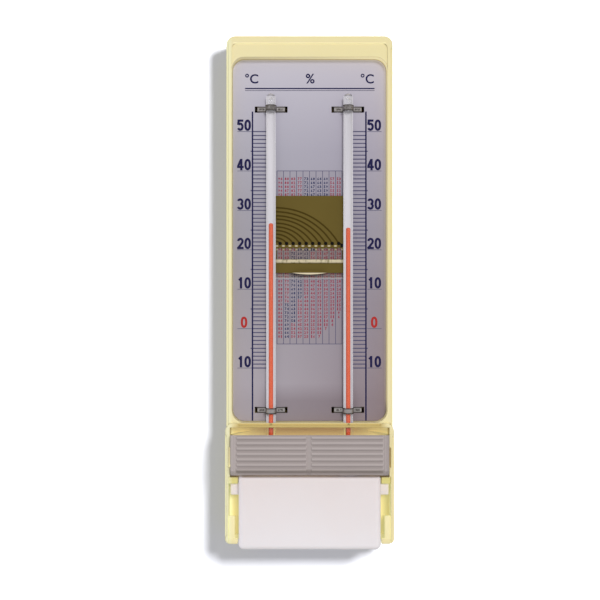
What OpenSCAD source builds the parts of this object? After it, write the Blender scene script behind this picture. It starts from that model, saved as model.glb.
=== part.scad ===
// Wall-hung wet and dry bulb hygrometer.
// The frame: X to the right, Y into the wall, Z up. The origin is the centre of the
// hanging hole, on the flat back that lies against the wall. In the comments a "drop" is
// a distance below the top edge of the case, and a "depth" is a distance in front of the wall.

/* [Case] */
// Width of the lower housing, round the bulbs and the bottle
case_w = 95.4; // [95:0.2:97]
// Width of the upper frame, round the scale
frame_w = 94.2; // [93.4:0.1:94.8]
// Height of the case, from its top edge to the ends of its legs
case_h = 287; // [285:0.5:296]
// Depth of the upper frame, from the wall to the front of its rim
case_d = 21; // [20.6:0.1:21.4]
// Depth of the lower housing, whose bar passes in front of the tubes
housing_d = 23.2; // [23:0.1:24]
// Radius of the two top corners
case_corner = 5; // [4:0.5:7]
// Rounding of the front edge
rim_round = 1.2; // [0.6:0.2:1.6]
// Thickness of the back wall
back_t = 2.5; // [2:0.1:3]
// Width of the side rim beside the scale
side_rim = 3.1; // [2.9:0.1:3.6]
// Width of the rim above the front field
top_rim = 4.2; // [3:0.1:5]
// Step from the rim down to the front field
field_step = 0.6; // [0.4:0.1:0.8]
// Drop of the hanging hole
hang_drop = 22; // [19:0.5:26]
// Radius of the round entry of the hanging hole
hang_r = 4.5; // [3.5:0.1:5]
// Width of the slot above the entry
hang_slot = 4.4; // [3:0.1:4.4]

/* [Scale plate] */
// Drop of the top edge of the plate's recess
recess_top = 12; // [10:0.1:14]
// Drop of the bottom edge of the plate's recess, where the bar of the lower housing starts
recess_bottom = 218.8; // [218:0.1:219.4]
// Radius of the recess corners
recess_corner = 7; // [5:0.5:9]
// Depth of the printed face of the plate
plate_face = 15.2; // [15:0.1:15.4]
// Thickness of the plate
plate_t = 0.8; // [0.5:0.1:1]

/* [Thermometers] */
// Distance from the middle of the case to each tube
tube_x = 21.9; // [21.5:0.05:22.5]
// Outer radius of a tube
tube_r = 2.74; // [2.4:0.02:2.8]
// Gap between the plate and the back of a tube
tube_gap = 1; // [0.9:0.05:1.1]
// Drop of the rounded top of a tube
tube_top = 32.3; // [30:0.1:34]
// Drop of the lower end of a bulb
bulb_bottom = 239.6; // [238.6:0.2:240]
// Outer radius of a bulb
bulb_r = 3.4; // [3.1:0.1:3.6]
// Length of a bulb
bulb_l = 11; // [10:0.5:12]
// Radius of the bore that holds the spirit
bore_r = 0.87; // [0.6:0.01:1]
// Drop of the top of the spirit in the dry tube
dry_reading = 106; // [60:0.1:180]
// Drop of the top of the spirit in the wet tube
wet_reading = 108.5; // [60:0.1:180]

/* [Tube clips] */
// Drop of the middle of the upper clips
clip_upper = 40.7; // [39:0.1:42]
// Drop of the middle of the lower clips
clip_lower = 212.2; // [210:0.1:213]
// Height of a clip
clip_h = 3.3; // [2.5:0.1:3.6]
// Half of a clip's width
clip_reach = 8; // [7.4:0.1:8.4]
// Thickness of a clip's strip
clip_t = 0.4; // [0.3:0.05:0.5]

/* [Cursor] */
// Drop of the top edge of the cursor
cursor_top = 90.1; // [60:0.1:110]
// Height of the clear carrier
carrier_h = 47; // [44:0.5:50]
// Thickness of the clear carrier
carrier_t = 0.7; // [0.5:0.05:0.8]
// Half of the width of the brass sheet
sheet_half = 20; // [19:0.1:20.3]
// Thickness of the brass sheet
sheet_t = 0.5; // [0.4:0.05:0.6]
// Distance between two columns of the reading table
column_pitch = 3.71; // [3.6:0.01:3.8]

/* [Bulb cover] */
// Drop of the cover's top edge
cover_top = 224.6; // [223:0.1:226]
// Drop of the cover's bottom edge
cover_bottom = 247.5; // [246:0.1:248]
// Depth of the cover's smooth front
cover_front = 29.8; // [29.4:0.1:31]
// Wall thickness of the cover
cover_t = 2; // [1.5:0.1:2.2]
// Number of ribs on each half of the cover
rib_count = 7; // [5:1:7]
// Distance between two ribs
rib_pitch = 3; // [2.4:0.05:3]

/* [Water bottle] */
// Half of the width of the bottle
bottle_half = 39.8; // [38:0.1:40]
// Drop of the bottle's shoulder
bottle_top = 248.5; // [248.2:0.1:249]
// Drop of the bottle's bottom
bottle_bottom = 289.1; // [286:0.1:294]
// Depth of the bottle's back
bottle_back = 4; // [3.4:0.1:6]
// Depth of the bottle's front
bottle_front = 28; // [26:0.1:29]
// Wall thickness of the bottle
bottle_wall = 1.2; // [1:0.1:1.5]
// Outer radius of the neck
neck_r = 7.4; // [6.6:0.1:7.6]
// Depth of the neck's axis; the wick hangs in the front half of the neck
neck_depth = 16.2; // [15.8:0.1:16.6]

/* [Hidden] */
$fn = 64;

// Colours
cream = [0.95, 0.91, 0.70];
satin_aluminium = [0.72, 0.70, 0.75];
clear_glass = [0.86, 0.88, 0.90, 0.5];
opal_white = [0.93, 0.92, 0.93];
spirit_red = [0.88, 0.30, 0.16];
bright_steel = [0.78, 0.78, 0.80];
old_gold = [0.50, 0.43, 0.20];
warm_grey = [0.66, 0.62, 0.61];
milky_white = [0.92, 0.90, 0.91, 0.9];
cotton = [0.95, 0.94, 0.90];

// Small clearances
touch_gap = 0.02;
loose_gap = 0.3;
cut_over = 0.5;

// Case
case_half = case_w / 2;
frame_half = frame_w / 2;
frame_end = 240;
recess_half = frame_half - side_rim;
housing_corner = 5;
field_depth = case_d - field_step;
plate_seat = plate_face - plate_t;
seat_ledge = 2.4;
seat_rib_x = 11;
seat_rib_w = 5;
tape_t = 0.5;
cross_rib_t = 1.6;
cross_rib_drops = [80, 125, 170];
bar_bottom = recess_bottom + 2.4;
bay_half = case_half - 2.8;
bay_cove = 6.5;
ledge_top = 249.4;
ledge_bottom = 252.9;
channel_half = case_half - 1.9;
channel_back = 9.5;
bottle_gap = 0.7;
leg_inner = bottle_half + bottle_gap;
leg_round = 3;
grip_cut_half = 30;
grip_cut_top = 264;
grip_cut_corner = 9;
foot_block_x = 42.6;
foot_block_top = 273.8;
foot_block_depth = 12.2;
foot_lip = 3;
notch_drops = [232.5, 243.8];
notch_half = 45.75;
notch_back = 12;

// Thermometers
tube_depth = plate_face + tube_gap + tube_r;
bore_top = tube_top + 5;
chamber_r = 1.4;
bulb_wall = 0.7;
bulb_neck = 2.4;
opal_drops = [tube_top + 3, recess_bottom + 0.5];
opal_inner = 1.35;
opal_outer = 2.45;
opal_front = -0.5;

// Clips
clip_slot_w = 1.95;
clip_slot_over = 1.35;
clip_tab = 2.6;

// Cursor
carrier_half = tube_x - 0.55;
carrier_back = plate_face + 0.06;
sheet_back = carrier_back + carrier_t;
sheet_front = sheet_back + sheet_t;
panel_bottom = cursor_top + 31;
window_bottom = cursor_top + 36.2;
band_bottom = cursor_top + 43.9;
window_side = 1.3;
scallop_r = 1.5;
scallop_count = 10;
bead_r = 1.1;
bead_end = 0.9;
thumb_half = 9.8;
thumb_rise = 0.95;
thumb_reach = 3;

// Cover
cover_half = bay_half - 0.6;
cheek_back = 8.4;
chamfer_top = 244.4;
chamfer_in = 3.2;
rib_r = 0.95;
rib_half = 40.7;
rib_first = cover_top + 1.35;
strip_x = -0.8;
strip_half = 1.9;

// Bottle
bottle_edge = 3;
lug_drops = [253.1, 259.8];
lug_depths = [13, 19.8];
lug_half = 44.9;
neck_top = 242;
cap_t = 1.4;
cap_skirt = 4.5;
cap_r = neck_r + 0.9;
wick_hole_r = 2;
wick_r = 1.5;
wick_sleeve = 0.55;
wick_bottom = 285;
sleeve_above = 1.4;
tie_r = 0.3;

// Height of a point that lies a given drop below the top edge of the case
function z_at(drop) = hang_drop - drop;

// Radius of the circle through a chord's ends that rises above its middle
function arc_radius(half, rise) = (half * half + rise * rise) / (2 * rise);

// Box between two limits each of x, drop and depth
module span_box(x, drop, depth) {
  translate([x[0], -depth[1], z_at(drop[1])])
    cube([x[1] - x[0], depth[1] - depth[0], drop[1] - drop[0]]);
}

// Both of a pair of boxes that mirror each other about the middle of the case
module paired_box(x, drop, depth) {
  span_box(x, drop, depth);
  span_box([-x[1], -x[0]], drop, depth);
}

// Extrudes a front-view outline between two depths
module facing(depth) {
  translate([0, -depth[0], 0]) rotate([90, 0, 0]) linear_extrude(depth[1] - depth[0]) children();
}

// Front-view outline of a panel with rounded corners
module panel_outline(half, drop, r_top, r_bottom) {
  z_top = z_at(drop[0]);
  z_low = z_at(drop[1]);
  translate([-half, z_low + r_bottom]) square([2 * half, z_top - r_top - z_low - r_bottom]);
  translate([-half + r_top, z_top - r_top]) square([2 * (half - r_top), r_top]);
  translate([-half + r_bottom, z_low]) square([2 * (half - r_bottom), r_bottom]);
  for (side = [-1, 1]) {
    translate([side * (half - r_top), z_top - r_top]) circle(r_top);
    translate([side * (half - r_bottom), z_low + r_bottom]) circle(r_bottom);
  }
}

// Rounded edge of a panel at one depth: rods along its sides, a ring at each corner
module edge_roll(half, drop, r_top, r_bottom, depth, f) {
  z_top = z_at(drop[0]);
  z_low = z_at(drop[1]);
  for (side = [-1, 1]) {
    translate([side * (half - f), -depth, z_low + r_bottom])
      cylinder(r = f, h = z_top - r_top - z_low - r_bottom);
    translate([side * (half - r_top), -depth, z_top - r_top])
      rotate([90, 0, 0]) rotate_extrude() translate([r_top - f, 0]) circle(f);
    translate([side * (half - r_bottom), -depth, z_low + r_bottom])
      rotate([90, 0, 0]) rotate_extrude() translate([r_bottom - f, 0]) circle(f);
  }
  translate([-half + r_top, -depth, z_top - f])
    rotate([0, 90, 0]) cylinder(r = f, h = 2 * (half - r_top));
  translate([-half + r_bottom, -depth, z_low + f])
    rotate([0, 90, 0]) cylinder(r = f, h = 2 * (half - r_bottom));
}

// Panel whose front edge is rounded
module soft_panel(half, drop, r_top, r_bottom, depth, f) {
  facing([depth[0], depth[1] - f]) panel_outline(half, drop, r_top, r_bottom);
  facing(depth) panel_outline(half - f, [drop[0] + f, drop[1] - f], r_top - f, r_bottom - f);
  edge_roll(half, drop, r_top, r_bottom, depth[1] - f, f);
}

// Hanging hole: a round entry for the screw's head and a slot that drops over its shank
module keyhole() {
  deep = back_t + cut_over;
  translate([0, cut_over, 0]) rotate([90, 0, 0]) cylinder(r = hang_r, h = deep + cut_over);
  translate([-hang_slot / 2, -deep, 0]) cube([hang_slot, deep + cut_over, 2 * hang_r]);
  translate([0, cut_over, 2 * hang_r]) rotate([90, 0, 0])
    cylinder(r = hang_slot / 2, h = deep + cut_over);
}

// Hollow behind the scale plate, inside the ledge on which the plate's edge lies
module plate_hollow() {
  facing([back_t, plate_seat + cut_over])
    panel_outline(recess_half - seat_ledge, [recess_top + seat_ledge, recess_bottom - seat_ledge],
      recess_corner - seat_ledge, recess_corner - seat_ledge);
}

// Ribs in that hollow: two broad ones that carry the tape, and thin ones across
module seat_ribs() {
  rib_drop = [recess_top + 32, recess_bottom - 12];
  rib_in = [back_t - cut_over, plate_seat - tape_t];
  paired_box([seat_rib_x - seat_rib_w / 2, seat_rib_x + seat_rib_w / 2], rib_drop, rib_in);
  for (drop = cross_rib_drops)
    span_box([-recess_half, recess_half], [drop, drop + cross_rib_t], rib_in);
}

// Bay round the bulbs, with a cove where its floor meets each side wall
module bulb_bay() {
  bay_drop = [bar_bottom, ledge_top];
  difference() {
    span_box([-bay_half, bay_half], bay_drop, [back_t, housing_d + cut_over]);
    for (side = [-1, 1])
      translate([side * (bay_half - bay_cove), -(back_t + bay_cove), z_at(ledge_top)])
        difference() {
          translate([side * bay_cove / 2 + side * 0.5, bay_cove / 2 + 0.5, (ledge_top - bar_bottom) / 2])
            cube([bay_cove + 1, bay_cove + 1, ledge_top - bar_bottom], center = true);
          translate([0, 0, -cut_over]) cylinder(r = bay_cove, h = ledge_top - bar_bottom + 2 * cut_over);
        }
  }
}

// Space for the bottle and its two lugs, open below between the legs
module bottle_space() {
  open_below = case_h + cut_over;
  open_front = housing_d + cut_over;
  span_box([-leg_inner, leg_inner], [ledge_top - cut_over, open_below], [back_t, open_front]);
  paired_box([leg_inner - cut_over, channel_half], [ledge_bottom, open_below], [channel_back, open_front]);
  paired_box([leg_inner - cut_over, channel_half], [ledge_top - cut_over, ledge_bottom + cut_over],
    [housing_d - 1, open_front]);
  facing([-cut_over, housing_d])
    panel_outline(grip_cut_half, [grip_cut_top, case_h + 2 * grip_cut_corner],
      grip_cut_corner, grip_cut_corner);
}

// Raised block and lip at the foot of each leg, in the channel behind the bottle's lugs
module foot_blocks() {
  raised = [channel_back - cut_over, foot_block_depth];
  difference() {
    paired_box([foot_block_x, channel_half + 0.2], [foot_block_top, case_h - 0.4], raised);
    for (side = [-1, 1])
      translate([side * foot_block_x, -foot_block_depth, z_at(case_h)])
        rotate([0, 0, 45]) cube([1.2, 1.2, 60], center = true);
  }
  paired_box([leg_inner, channel_half + 0.2], [case_h - foot_lip, case_h - 0.4], raised);
}

module back_case() {
  color(cream) {
    difference() {
      union() {
        soft_panel(frame_half, [0, frame_end], case_corner, leg_round, [0, case_d], rim_round);
        soft_panel(case_half, [recess_bottom, case_h], housing_corner, leg_round, [0, housing_d], rim_round);
      }
      facing([field_depth, case_d + cut_over])
        panel_outline(recess_half, [top_rim, recess_bottom], 3.2, recess_corner);
      facing([plate_seat, case_d])
        panel_outline(recess_half, [recess_top, recess_bottom], recess_corner, recess_corner);
      plate_hollow();
      bulb_bay();
      bottle_space();
      paired_box([bay_half - cut_over, notch_half], notch_drops, [notch_back, housing_d + cut_over]);
      for (side = [-1, 1])
        translate([side * tube_x, -tube_depth, z_at(bar_bottom + 1)])
          cylinder(r = tube_r + loose_gap, h = 6);
      keyhole();
    }
    intersection() {
      seat_ribs();
      facing([0, case_d])
        panel_outline(recess_half - seat_ledge + 0.2, [recess_top, recess_bottom - 2],
          recess_corner, recess_corner);
    }
    foot_blocks();
  }
}

// Slot in the plate for one end of a clip
module clip_slot(x, drop) {
  outer = clip_reach + clip_slot_over;
  for (side = [-1, 1])
    span_box([x + side * outer - (side > 0 ? clip_slot_w : 0), x + side * outer + (side > 0 ? 0 : clip_slot_w)],
      [drop - clip_h / 2 - 0.1, drop + clip_h / 2 + 0.1], [plate_seat - cut_over, plate_face + cut_over]);
}

module scale_plate() {
  color(satin_aluminium) difference() {
    facing([plate_seat, plate_face])
      panel_outline(recess_half - 0.3, [recess_top + 0.3, recess_bottom - 0.3],
        recess_corner - 0.3, recess_corner - 0.3);
    for (x = [-tube_x, tube_x], drop = [clip_upper, clip_lower]) clip_slot(x, drop);
  }
}

module plate_tape() {
  color("white")
    paired_box([seat_rib_x - seat_rib_w / 2 + 0.2, seat_rib_x + seat_rib_w / 2 - 0.2],
      [recess_top + 35, recess_bottom - 16], [plate_seat - tape_t, plate_seat]);
}

// Half profile of a tube and its bulb, turned about the tube's own axis
module tube_profile(stem_r, ball_r, top, bottom) {
  z_top = z_at(top);
  z_low = z_at(bottom);
  intersection() {
    union() {
      translate([0, z_low + ball_r]) square([stem_r, z_top - stem_r - z_low - ball_r]);
      translate([0, z_top - stem_r]) circle(stem_r);
      translate([0, z_low + ball_r]) circle(ball_r);
      translate([0, z_low + ball_r]) square([ball_r, bulb_l - bulb_neck - ball_r]);
      polygon([
        [0, z_low + bulb_l - bulb_neck], [ball_r, z_low + bulb_l - bulb_neck],
        [stem_r, z_low + bulb_l], [0, z_low + bulb_l]
      ]);
    }
    translate([0, z_low - 1]) square([ball_r + 1, z_top - z_low + 2]);
  }
}

// Strip of opal glass behind the bore
module opal_strip(x, gap = 0) {
  height = opal_drops[1] - opal_drops[0];
  translate([x, -tube_depth, z_at(opal_drops[1]) - gap]) intersection() {
    difference() {
      cylinder(r = opal_outer + gap, h = height + 2 * gap);
      translate([0, 0, -1]) cylinder(r = opal_inner - gap, h = height + 3);
    }
    translate([-tube_r, -opal_front - 1 - gap, -1]) cube([2 * tube_r, 2 * tube_r, height + 3]);
  }
}

module thermometer_tube(x) {
  color(clear_glass) difference() {
    translate([x, -tube_depth, 0]) rotate_extrude() tube_profile(tube_r, bulb_r, tube_top, bulb_bottom);
    translate([x, -tube_depth, 0]) rotate_extrude()
      tube_profile(bore_r, bulb_r - bulb_wall, bore_top, bulb_bottom - bulb_wall);
    translate([x, -tube_depth, z_at(bore_top)]) sphere(chamber_r);
    opal_strip(x, touch_gap);
  }
}

module spirit(x, reading) {
  color(spirit_red) translate([x, -tube_depth, 0]) rotate_extrude()
    tube_profile(bore_r - 2 * touch_gap, bulb_r - bulb_wall - 2 * touch_gap, reading,
      bulb_bottom - bulb_wall - 2 * touch_gap);
}

// Spring strip that arches over a tube, with both ends bent through the plate
module tube_clip(x, drop) {
  inner = tube_r + touch_gap;
  wing_back = plate_face + touch_gap;
  color(bright_steel) translate([x, 0, z_at(drop) - clip_h / 2]) linear_extrude(clip_h) {
    translate([0, -tube_depth]) difference() {
      circle(inner + clip_t);
      circle(inner);
      translate([-2 * tube_r, 0]) square([4 * tube_r, 2 * tube_r]);
    }
    for (side = [0, 1]) mirror([side, 0]) {
      translate([inner, -tube_depth]) square([clip_t, tube_depth - wing_back]);
      translate([inner, -wing_back - clip_t]) square([clip_reach - inner, clip_t]);
      translate([clip_reach - clip_t, -wing_back - clip_t]) square([clip_t, wing_back + clip_t - plate_seat + 0.5]);
      translate([clip_reach - clip_tab, -plate_seat + 0.1]) square([clip_tab, clip_t]);
    }
  }
}

// Pads that hold a tube off the plate under each clip
module tube_rests() {
  color(opal_white) for (x = [-tube_x, tube_x], drop = [clip_upper, clip_lower])
    difference() {
      span_box([x - 2, x + 2], [drop - clip_h / 2, drop + clip_h / 2], [plate_face, tube_depth - 1.9]);
      translate([x, -tube_depth, z_at(drop) - clip_h]) cylinder(r = tube_r + touch_gap, h = 2 * clip_h);
    }
}

module cursor_carrier() {
  color(clear_glass) facing([carrier_back, sheet_back])
    panel_outline(carrier_half, [cursor_top, cursor_top + carrier_h], 1, 1);
}

// Brass sheet with a scalloped reading edge above its window, a bead below the window
// that stiffens it, and a half-moon rest for the thumb
module cursor_sheet() {
  thumb_r = arc_radius(thumb_half, thumb_rise);
  color(old_gold) {
    difference() {
      facing([sheet_back, sheet_front])
        panel_outline(sheet_half, [cursor_top, band_bottom], 0.6, 0.6);
      span_box([-sheet_half + window_side, sheet_half - window_side],
        [panel_bottom, window_bottom], [sheet_back - 1, sheet_front + 1]);
      for (i = [0 : scallop_count - 1])
        translate([(i - (scallop_count - 1) / 2) * column_pitch, -sheet_front - 1, z_at(panel_bottom)])
          rotate([-90, 0, 0]) cylinder(r = scallop_r, h = sheet_t + 2, $fn = 32);
    }
    intersection() {
      translate([-sheet_half + bead_end, -sheet_front, z_at(window_bottom + bead_r)])
        rotate([0, 90, 0]) cylinder(r = bead_r, h = 2 * (sheet_half - bead_end));
      span_box([-sheet_half, sheet_half], [cursor_top, band_bottom], [sheet_back + 0.1, sheet_front + 2 * bead_r]);
    }
    facing([sheet_front - 0.1, sheet_front + thumb_reach]) intersection() {
      translate([0, z_at(band_bottom) + thumb_r - thumb_rise]) circle(thumb_r, $fn = 180);
      translate([0, z_at(band_bottom) - thumb_r + thumb_rise]) circle(thumb_r, $fn = 180);
    }
  }
}

// Side profile of the cover's front wall, with its lower edge turned in
module cover_profile() {
  front = -cover_front;
  polygon([
    [front + cover_t, z_at(cover_top)],
    [front + 0.9, z_at(cover_top)],
    [front + 0.25, z_at(cover_top + 0.3)],
    [front, z_at(cover_top + 0.9)],
    [front, z_at(chamfer_top)],
    [front + chamfer_in, z_at(cover_bottom)],
    [front + chamfer_in + cover_t, z_at(cover_bottom)],
    [front + cover_t, z_at(chamfer_top - 0.5)]
  ]);
}

// Ribs that stand half out of the cover's front, between two limits of x
module cover_ribs(x) {
  translate([x[0], 0, 0]) rotate([90, 0, 90]) linear_extrude(x[1] - x[0])
    for (i = [0 : rib_count - 1]) translate([-cover_front, z_at(rib_first + i * rib_pitch)]) circle(rib_r, $fn = 32);
}

// End wall of the cover, with the tongue that latches it in the case
module cover_cheek() {
  rotate([90, 0, 90]) linear_extrude(cover_t) polygon([
    [-cheek_back, z_at(cover_top + 0.6)],
    [-cover_front + 0.6, z_at(cover_top + 0.6)],
    [-cover_front + 0.2, z_at(cover_top + 1.4)],
    [-cover_front + 0.2, z_at(chamfer_top)],
    [-cover_front + chamfer_in, z_at(cover_bottom - 0.2)],
    [-cheek_back, z_at(cover_bottom - 0.2)]
  ]);
}

module bulb_cover() {
  color(warm_grey) {
    translate([-cover_half, 0, 0]) rotate([90, 0, 90]) linear_extrude(2 * cover_half) cover_profile();
    translate([cover_half - cover_t, 0, 0]) cover_cheek();
    translate([-cover_half, 0, 0]) cover_cheek();
    paired_box([cover_half - cut_over, notch_half - 0.3], [notch_drops[0] + 0.5, notch_drops[1] - 0.5],
      [notch_back + 0.4, notch_back + 4]);
    cover_ribs([-rib_half, strip_x - strip_half]);
    cover_ribs([strip_x + strip_half, rib_half]);
  }
}

// Blown box with every edge rounded alike
module blown_box(half, drop, depth, r) {
  hull() for (x = [r - half, half - r], y = [-depth[0] - r, -depth[1] + r], z = [z_at(drop[0]) - r, z_at(drop[1]) + r])
    translate([x, y, z]) sphere(r, $fn = 32);
}

module water_bottle() {
  color(milky_white) difference() {
    union() {
      blown_box(bottle_half, [bottle_top, bottle_bottom], [bottle_back, bottle_front], bottle_edge);
      translate([tube_x, -neck_depth, z_at(bottle_top + 3)]) cylinder(r = neck_r, h = bottle_top + 3 - neck_top);
      paired_box([bottle_half - bottle_wall / 2, lug_half], lug_drops, lug_depths);
    }
    blown_box(bottle_half - bottle_wall, [bottle_top + bottle_wall, bottle_bottom - bottle_wall],
      [bottle_back + bottle_wall, bottle_front - bottle_wall], bottle_edge - bottle_wall);
    translate([tube_x, -neck_depth, z_at(bottle_top + 4)]) cylinder(r = neck_r - bottle_wall, h = 20);
  }
}

// Cap whose hole lies in front of its middle, in line with the bulb
module bottle_cap() {
  color(milky_white) translate([tube_x, -neck_depth, z_at(neck_top)]) difference() {
    translate([0, 0, -cap_skirt]) cylinder(r = cap_r, h = cap_skirt + cap_t);
    translate([0, 0, -cap_skirt - 1]) cylinder(r = neck_r + touch_gap, h = cap_skirt + 1);
    translate([0, neck_depth - tube_depth, -1]) cylinder(r = wick_hole_r, h = cap_t + 2);
  }
}

// Half profile of the cotton sleeve on the wet bulb and the tail that hangs in the water
module wick_profile() {
  sleeve_r = bulb_r + touch_gap + wick_sleeve;
  z_sleeve = z_at(bulb_bottom - bulb_l - sleeve_above);
  z_bulb = z_at(bulb_bottom);
  difference() {
    union() {
      polygon([
        [0, z_bulb - 0.8], [wick_r, z_bulb - 0.8], [sleeve_r - 0.6, z_bulb + 0.6], [sleeve_r, z_bulb + 2.4],
        [sleeve_r, z_bulb + bulb_l - bulb_neck], [tube_r + wick_sleeve, z_bulb + bulb_l], [tube_r + wick_sleeve, z_sleeve],
        [0, z_sleeve]
      ]);
      translate([0, z_at(wick_bottom)]) square([wick_r, z_bulb - 0.5 - z_at(wick_bottom)]);
    }
    tube_profile(tube_r + touch_gap, bulb_r + touch_gap, tube_top, bulb_bottom + touch_gap);
  }
}

module wick() {
  color(cotton) translate([tube_x, -tube_depth, 0]) rotate_extrude() wick_profile();
}

// Rings of thread that hold the sleeve above and below the bulb
module wick_tie() {
  color("white") for (i = [-1, 0, 1])
    translate([tube_x, -tube_depth, z_at(bulb_bottom - bulb_l - sleeve_above / 2) + 1.2 * tie_r * i])
      rotate_extrude() translate([tube_r + wick_sleeve + tie_r, 0]) circle(tie_r, $fn = 16);
}

back_case();
scale_plate();
plate_tape();
thermometer_tube(-tube_x);  // dry_tube
color(opal_white) opal_strip(-tube_x);  // dry_opal
spirit(-tube_x, dry_reading);  // dry_spirit
thermometer_tube(tube_x);  // wet_tube
color(opal_white) opal_strip(tube_x);  // wet_opal
spirit(tube_x, wet_reading);  // wet_spirit
tube_clip(-tube_x, clip_upper);  // dry_upper_clip
tube_clip(-tube_x, clip_lower);  // dry_lower_clip
tube_clip(tube_x, clip_upper);  // wet_upper_clip
tube_clip(tube_x, clip_lower);  // wet_lower_clip
tube_rests();
cursor_carrier();
cursor_sheet();
bulb_cover();
water_bottle();
bottle_cap();
wick();
wick_tie();
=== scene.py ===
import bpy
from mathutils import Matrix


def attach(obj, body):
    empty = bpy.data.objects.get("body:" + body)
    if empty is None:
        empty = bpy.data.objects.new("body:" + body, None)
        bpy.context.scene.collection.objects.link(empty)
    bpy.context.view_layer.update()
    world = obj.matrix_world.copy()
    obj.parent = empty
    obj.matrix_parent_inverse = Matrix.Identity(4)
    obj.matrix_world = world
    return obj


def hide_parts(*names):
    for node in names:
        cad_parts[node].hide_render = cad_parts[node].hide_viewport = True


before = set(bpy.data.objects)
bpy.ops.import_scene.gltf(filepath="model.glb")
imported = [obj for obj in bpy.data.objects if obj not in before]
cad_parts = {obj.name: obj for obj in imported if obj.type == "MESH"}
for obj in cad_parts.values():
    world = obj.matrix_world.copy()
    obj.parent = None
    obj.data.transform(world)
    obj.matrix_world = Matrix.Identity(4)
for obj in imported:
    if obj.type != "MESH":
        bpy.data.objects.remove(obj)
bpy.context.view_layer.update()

import math

import bpy
import numpy as np

# Sizes below are in millimetres in the frame's own axes: x to the right, depth in front of the
# wall, and drop below the top edge of the case. The hanging hole is the origin.
mm = 0.001
hangDrop = 22
link = bpy.context.scene.collection.objects.link


def zAt(drop):
    return hangDrop - drop


def around(count):
    # evenly spaced angles round a circle
    return np.linspace(0, 2 * math.pi, count, endpoint=False)


def tone(red, green, blue):
    # screen colour 0-255 to scene-linear, by the usual 2.4 power curve with its straight toe
    value = np.array([red, green, blue]) / 255
    linear = np.where(value > 0.04045, ((value + 0.055) / 1.055) ** 2.4, value / 12.92)
    return (*linear.tolist(), 1.0)


class Wire:
    # One value socket of a material. Arithmetic on wires adds their Math nodes.
    def __init__(self, finish, socket):
        self.finish, self.socket = finish, socket

    def calc(self, operation, first, second=0.0):
        return self.finish.node("Math", {"operation": operation}, {0: first, 1: second})

    def __add__(self, other):
        return self.calc("ADD", self, other)

    def __sub__(self, other):
        return self.calc("SUBTRACT", self, other)

    def __rsub__(self, other):
        return self.calc("SUBTRACT", other, self)

    def __mul__(self, other):
        return self.calc("MULTIPLY", self, other)

    def __truediv__(self, other):
        return self.calc("DIVIDE", self, other)

    def __rtruediv__(self, other):
        return self.calc("DIVIDE", other, self)

    def least(self, other):
        return self.calc("MINIMUM", self, other)

    def most(self, other):
        return self.calc("MAXIMUM", self, other)

    def size(self):
        return self.calc("ABSOLUTE", self)

    def wave(self):
        return self.calc("COSINE", self)

    def root(self):
        return self.calc("SQRT", self)

    __radd__ = __add__
    __rmul__ = __mul__


class Finish:
    # A material, written as calls on one node method
    def __init__(self, name, tree=None):
        if tree is None:
            self.material = bpy.data.materials.new(name)
            self.material.use_nodes = True
            tree = self.material.node_tree
        self.tree = tree
        self.tree.nodes.clear()

    def node(self, kind, settings=None, sockets=None, out=0):
        made = self.tree.nodes.new("ShaderNode" + kind)
        for name, value in (settings or {}).items():
            if name == "stops":
                for position, _ in value[1:-1]:
                    made.color_ramp.elements.new(position)
                for element, (position, colour) in zip(made.color_ramp.elements, value):
                    element.position = position
                    element.color = colour
            else:
                setattr(made, name, value)
        for name, value in (sockets or {}).items():
            if isinstance(value, Wire):
                self.tree.links.new(value.socket, made.inputs[name])
            else:
                made.inputs[name].default_value = value
        return Wire(self, made.outputs[out]) if made.outputs else None

    def place(self):
        return self.node("TexCoord", out="Object")

    def spot(self):
        # x, depth, drop and the distance across from the middle of the shaded point, in millimetres
        x, y, z = (self.node("SeparateXYZ", {}, {0: self.place()}, out=letter) for letter in "XYZ")
        at = {"x": x / mm, "depth": y / -mm, "drop": hangDrop - z / mm}
        at["across"] = at["x"].size()
        return at

    def noise(self, scale, detail=3.0, stretch=(1, 1, 1)):
        spot = self.node("Mapping", {}, {"Vector": self.place(), "Scale": stretch})
        return self.node("TexNoise", {}, {"Vector": spot, "Scale": scale, "Detail": detail})

    def within(self, value, low, high):
        # 0 below low, 1 above high, straight between
        return self.node("MapRange", {}, {0: value, 1: low, 2: high, 3: 0.0, 4: 1.0})

    def upTo(self, value, high, soft):
        # 1 below high, gone at a distance of soft above it
        return 1 - self.within(value, high, high + soft)

    def band(self, value, low, high, soft):
        # 1 between low and high, gone at a distance of soft outside them
        return self.within(value, low - soft, low) * self.upTo(value, high, soft)

    def zone(self, at, limits):
        # 1 inside every limit by axis: (low, high, soft), or (high, soft) with no lower end
        return math.prod(self.band(at[axis], *limit) if len(limit) == 3 else self.upTo(at[axis], *limit)
                         for axis, limit in limits.items())

    def blend(self, factor, first, second):
        return self.node("Mix", {"data_type": "RGBA"}, {0: factor, 6: first, 7: second}, out=2)

    def bump(self, height, strength, distance, over=None):
        sockets = {"Strength": strength, "Distance": distance, "Height": height}
        if over:
            sockets["Normal"] = over
        return self.node("Bump", {}, sockets)

    def eased(self, radius):
        # normals as if each edge were rounded to this radius in millimetres
        return self.node("Bevel", {"samples": 6}, {"Radius": radius * mm})

    def surface(self, sockets):
        return self.node("BsdfPrincipled", {}, sockets)

    def show(self, shader):
        self.node("OutputMaterial", {}, {"Surface": shader})
        return self


print("finishes")

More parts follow.
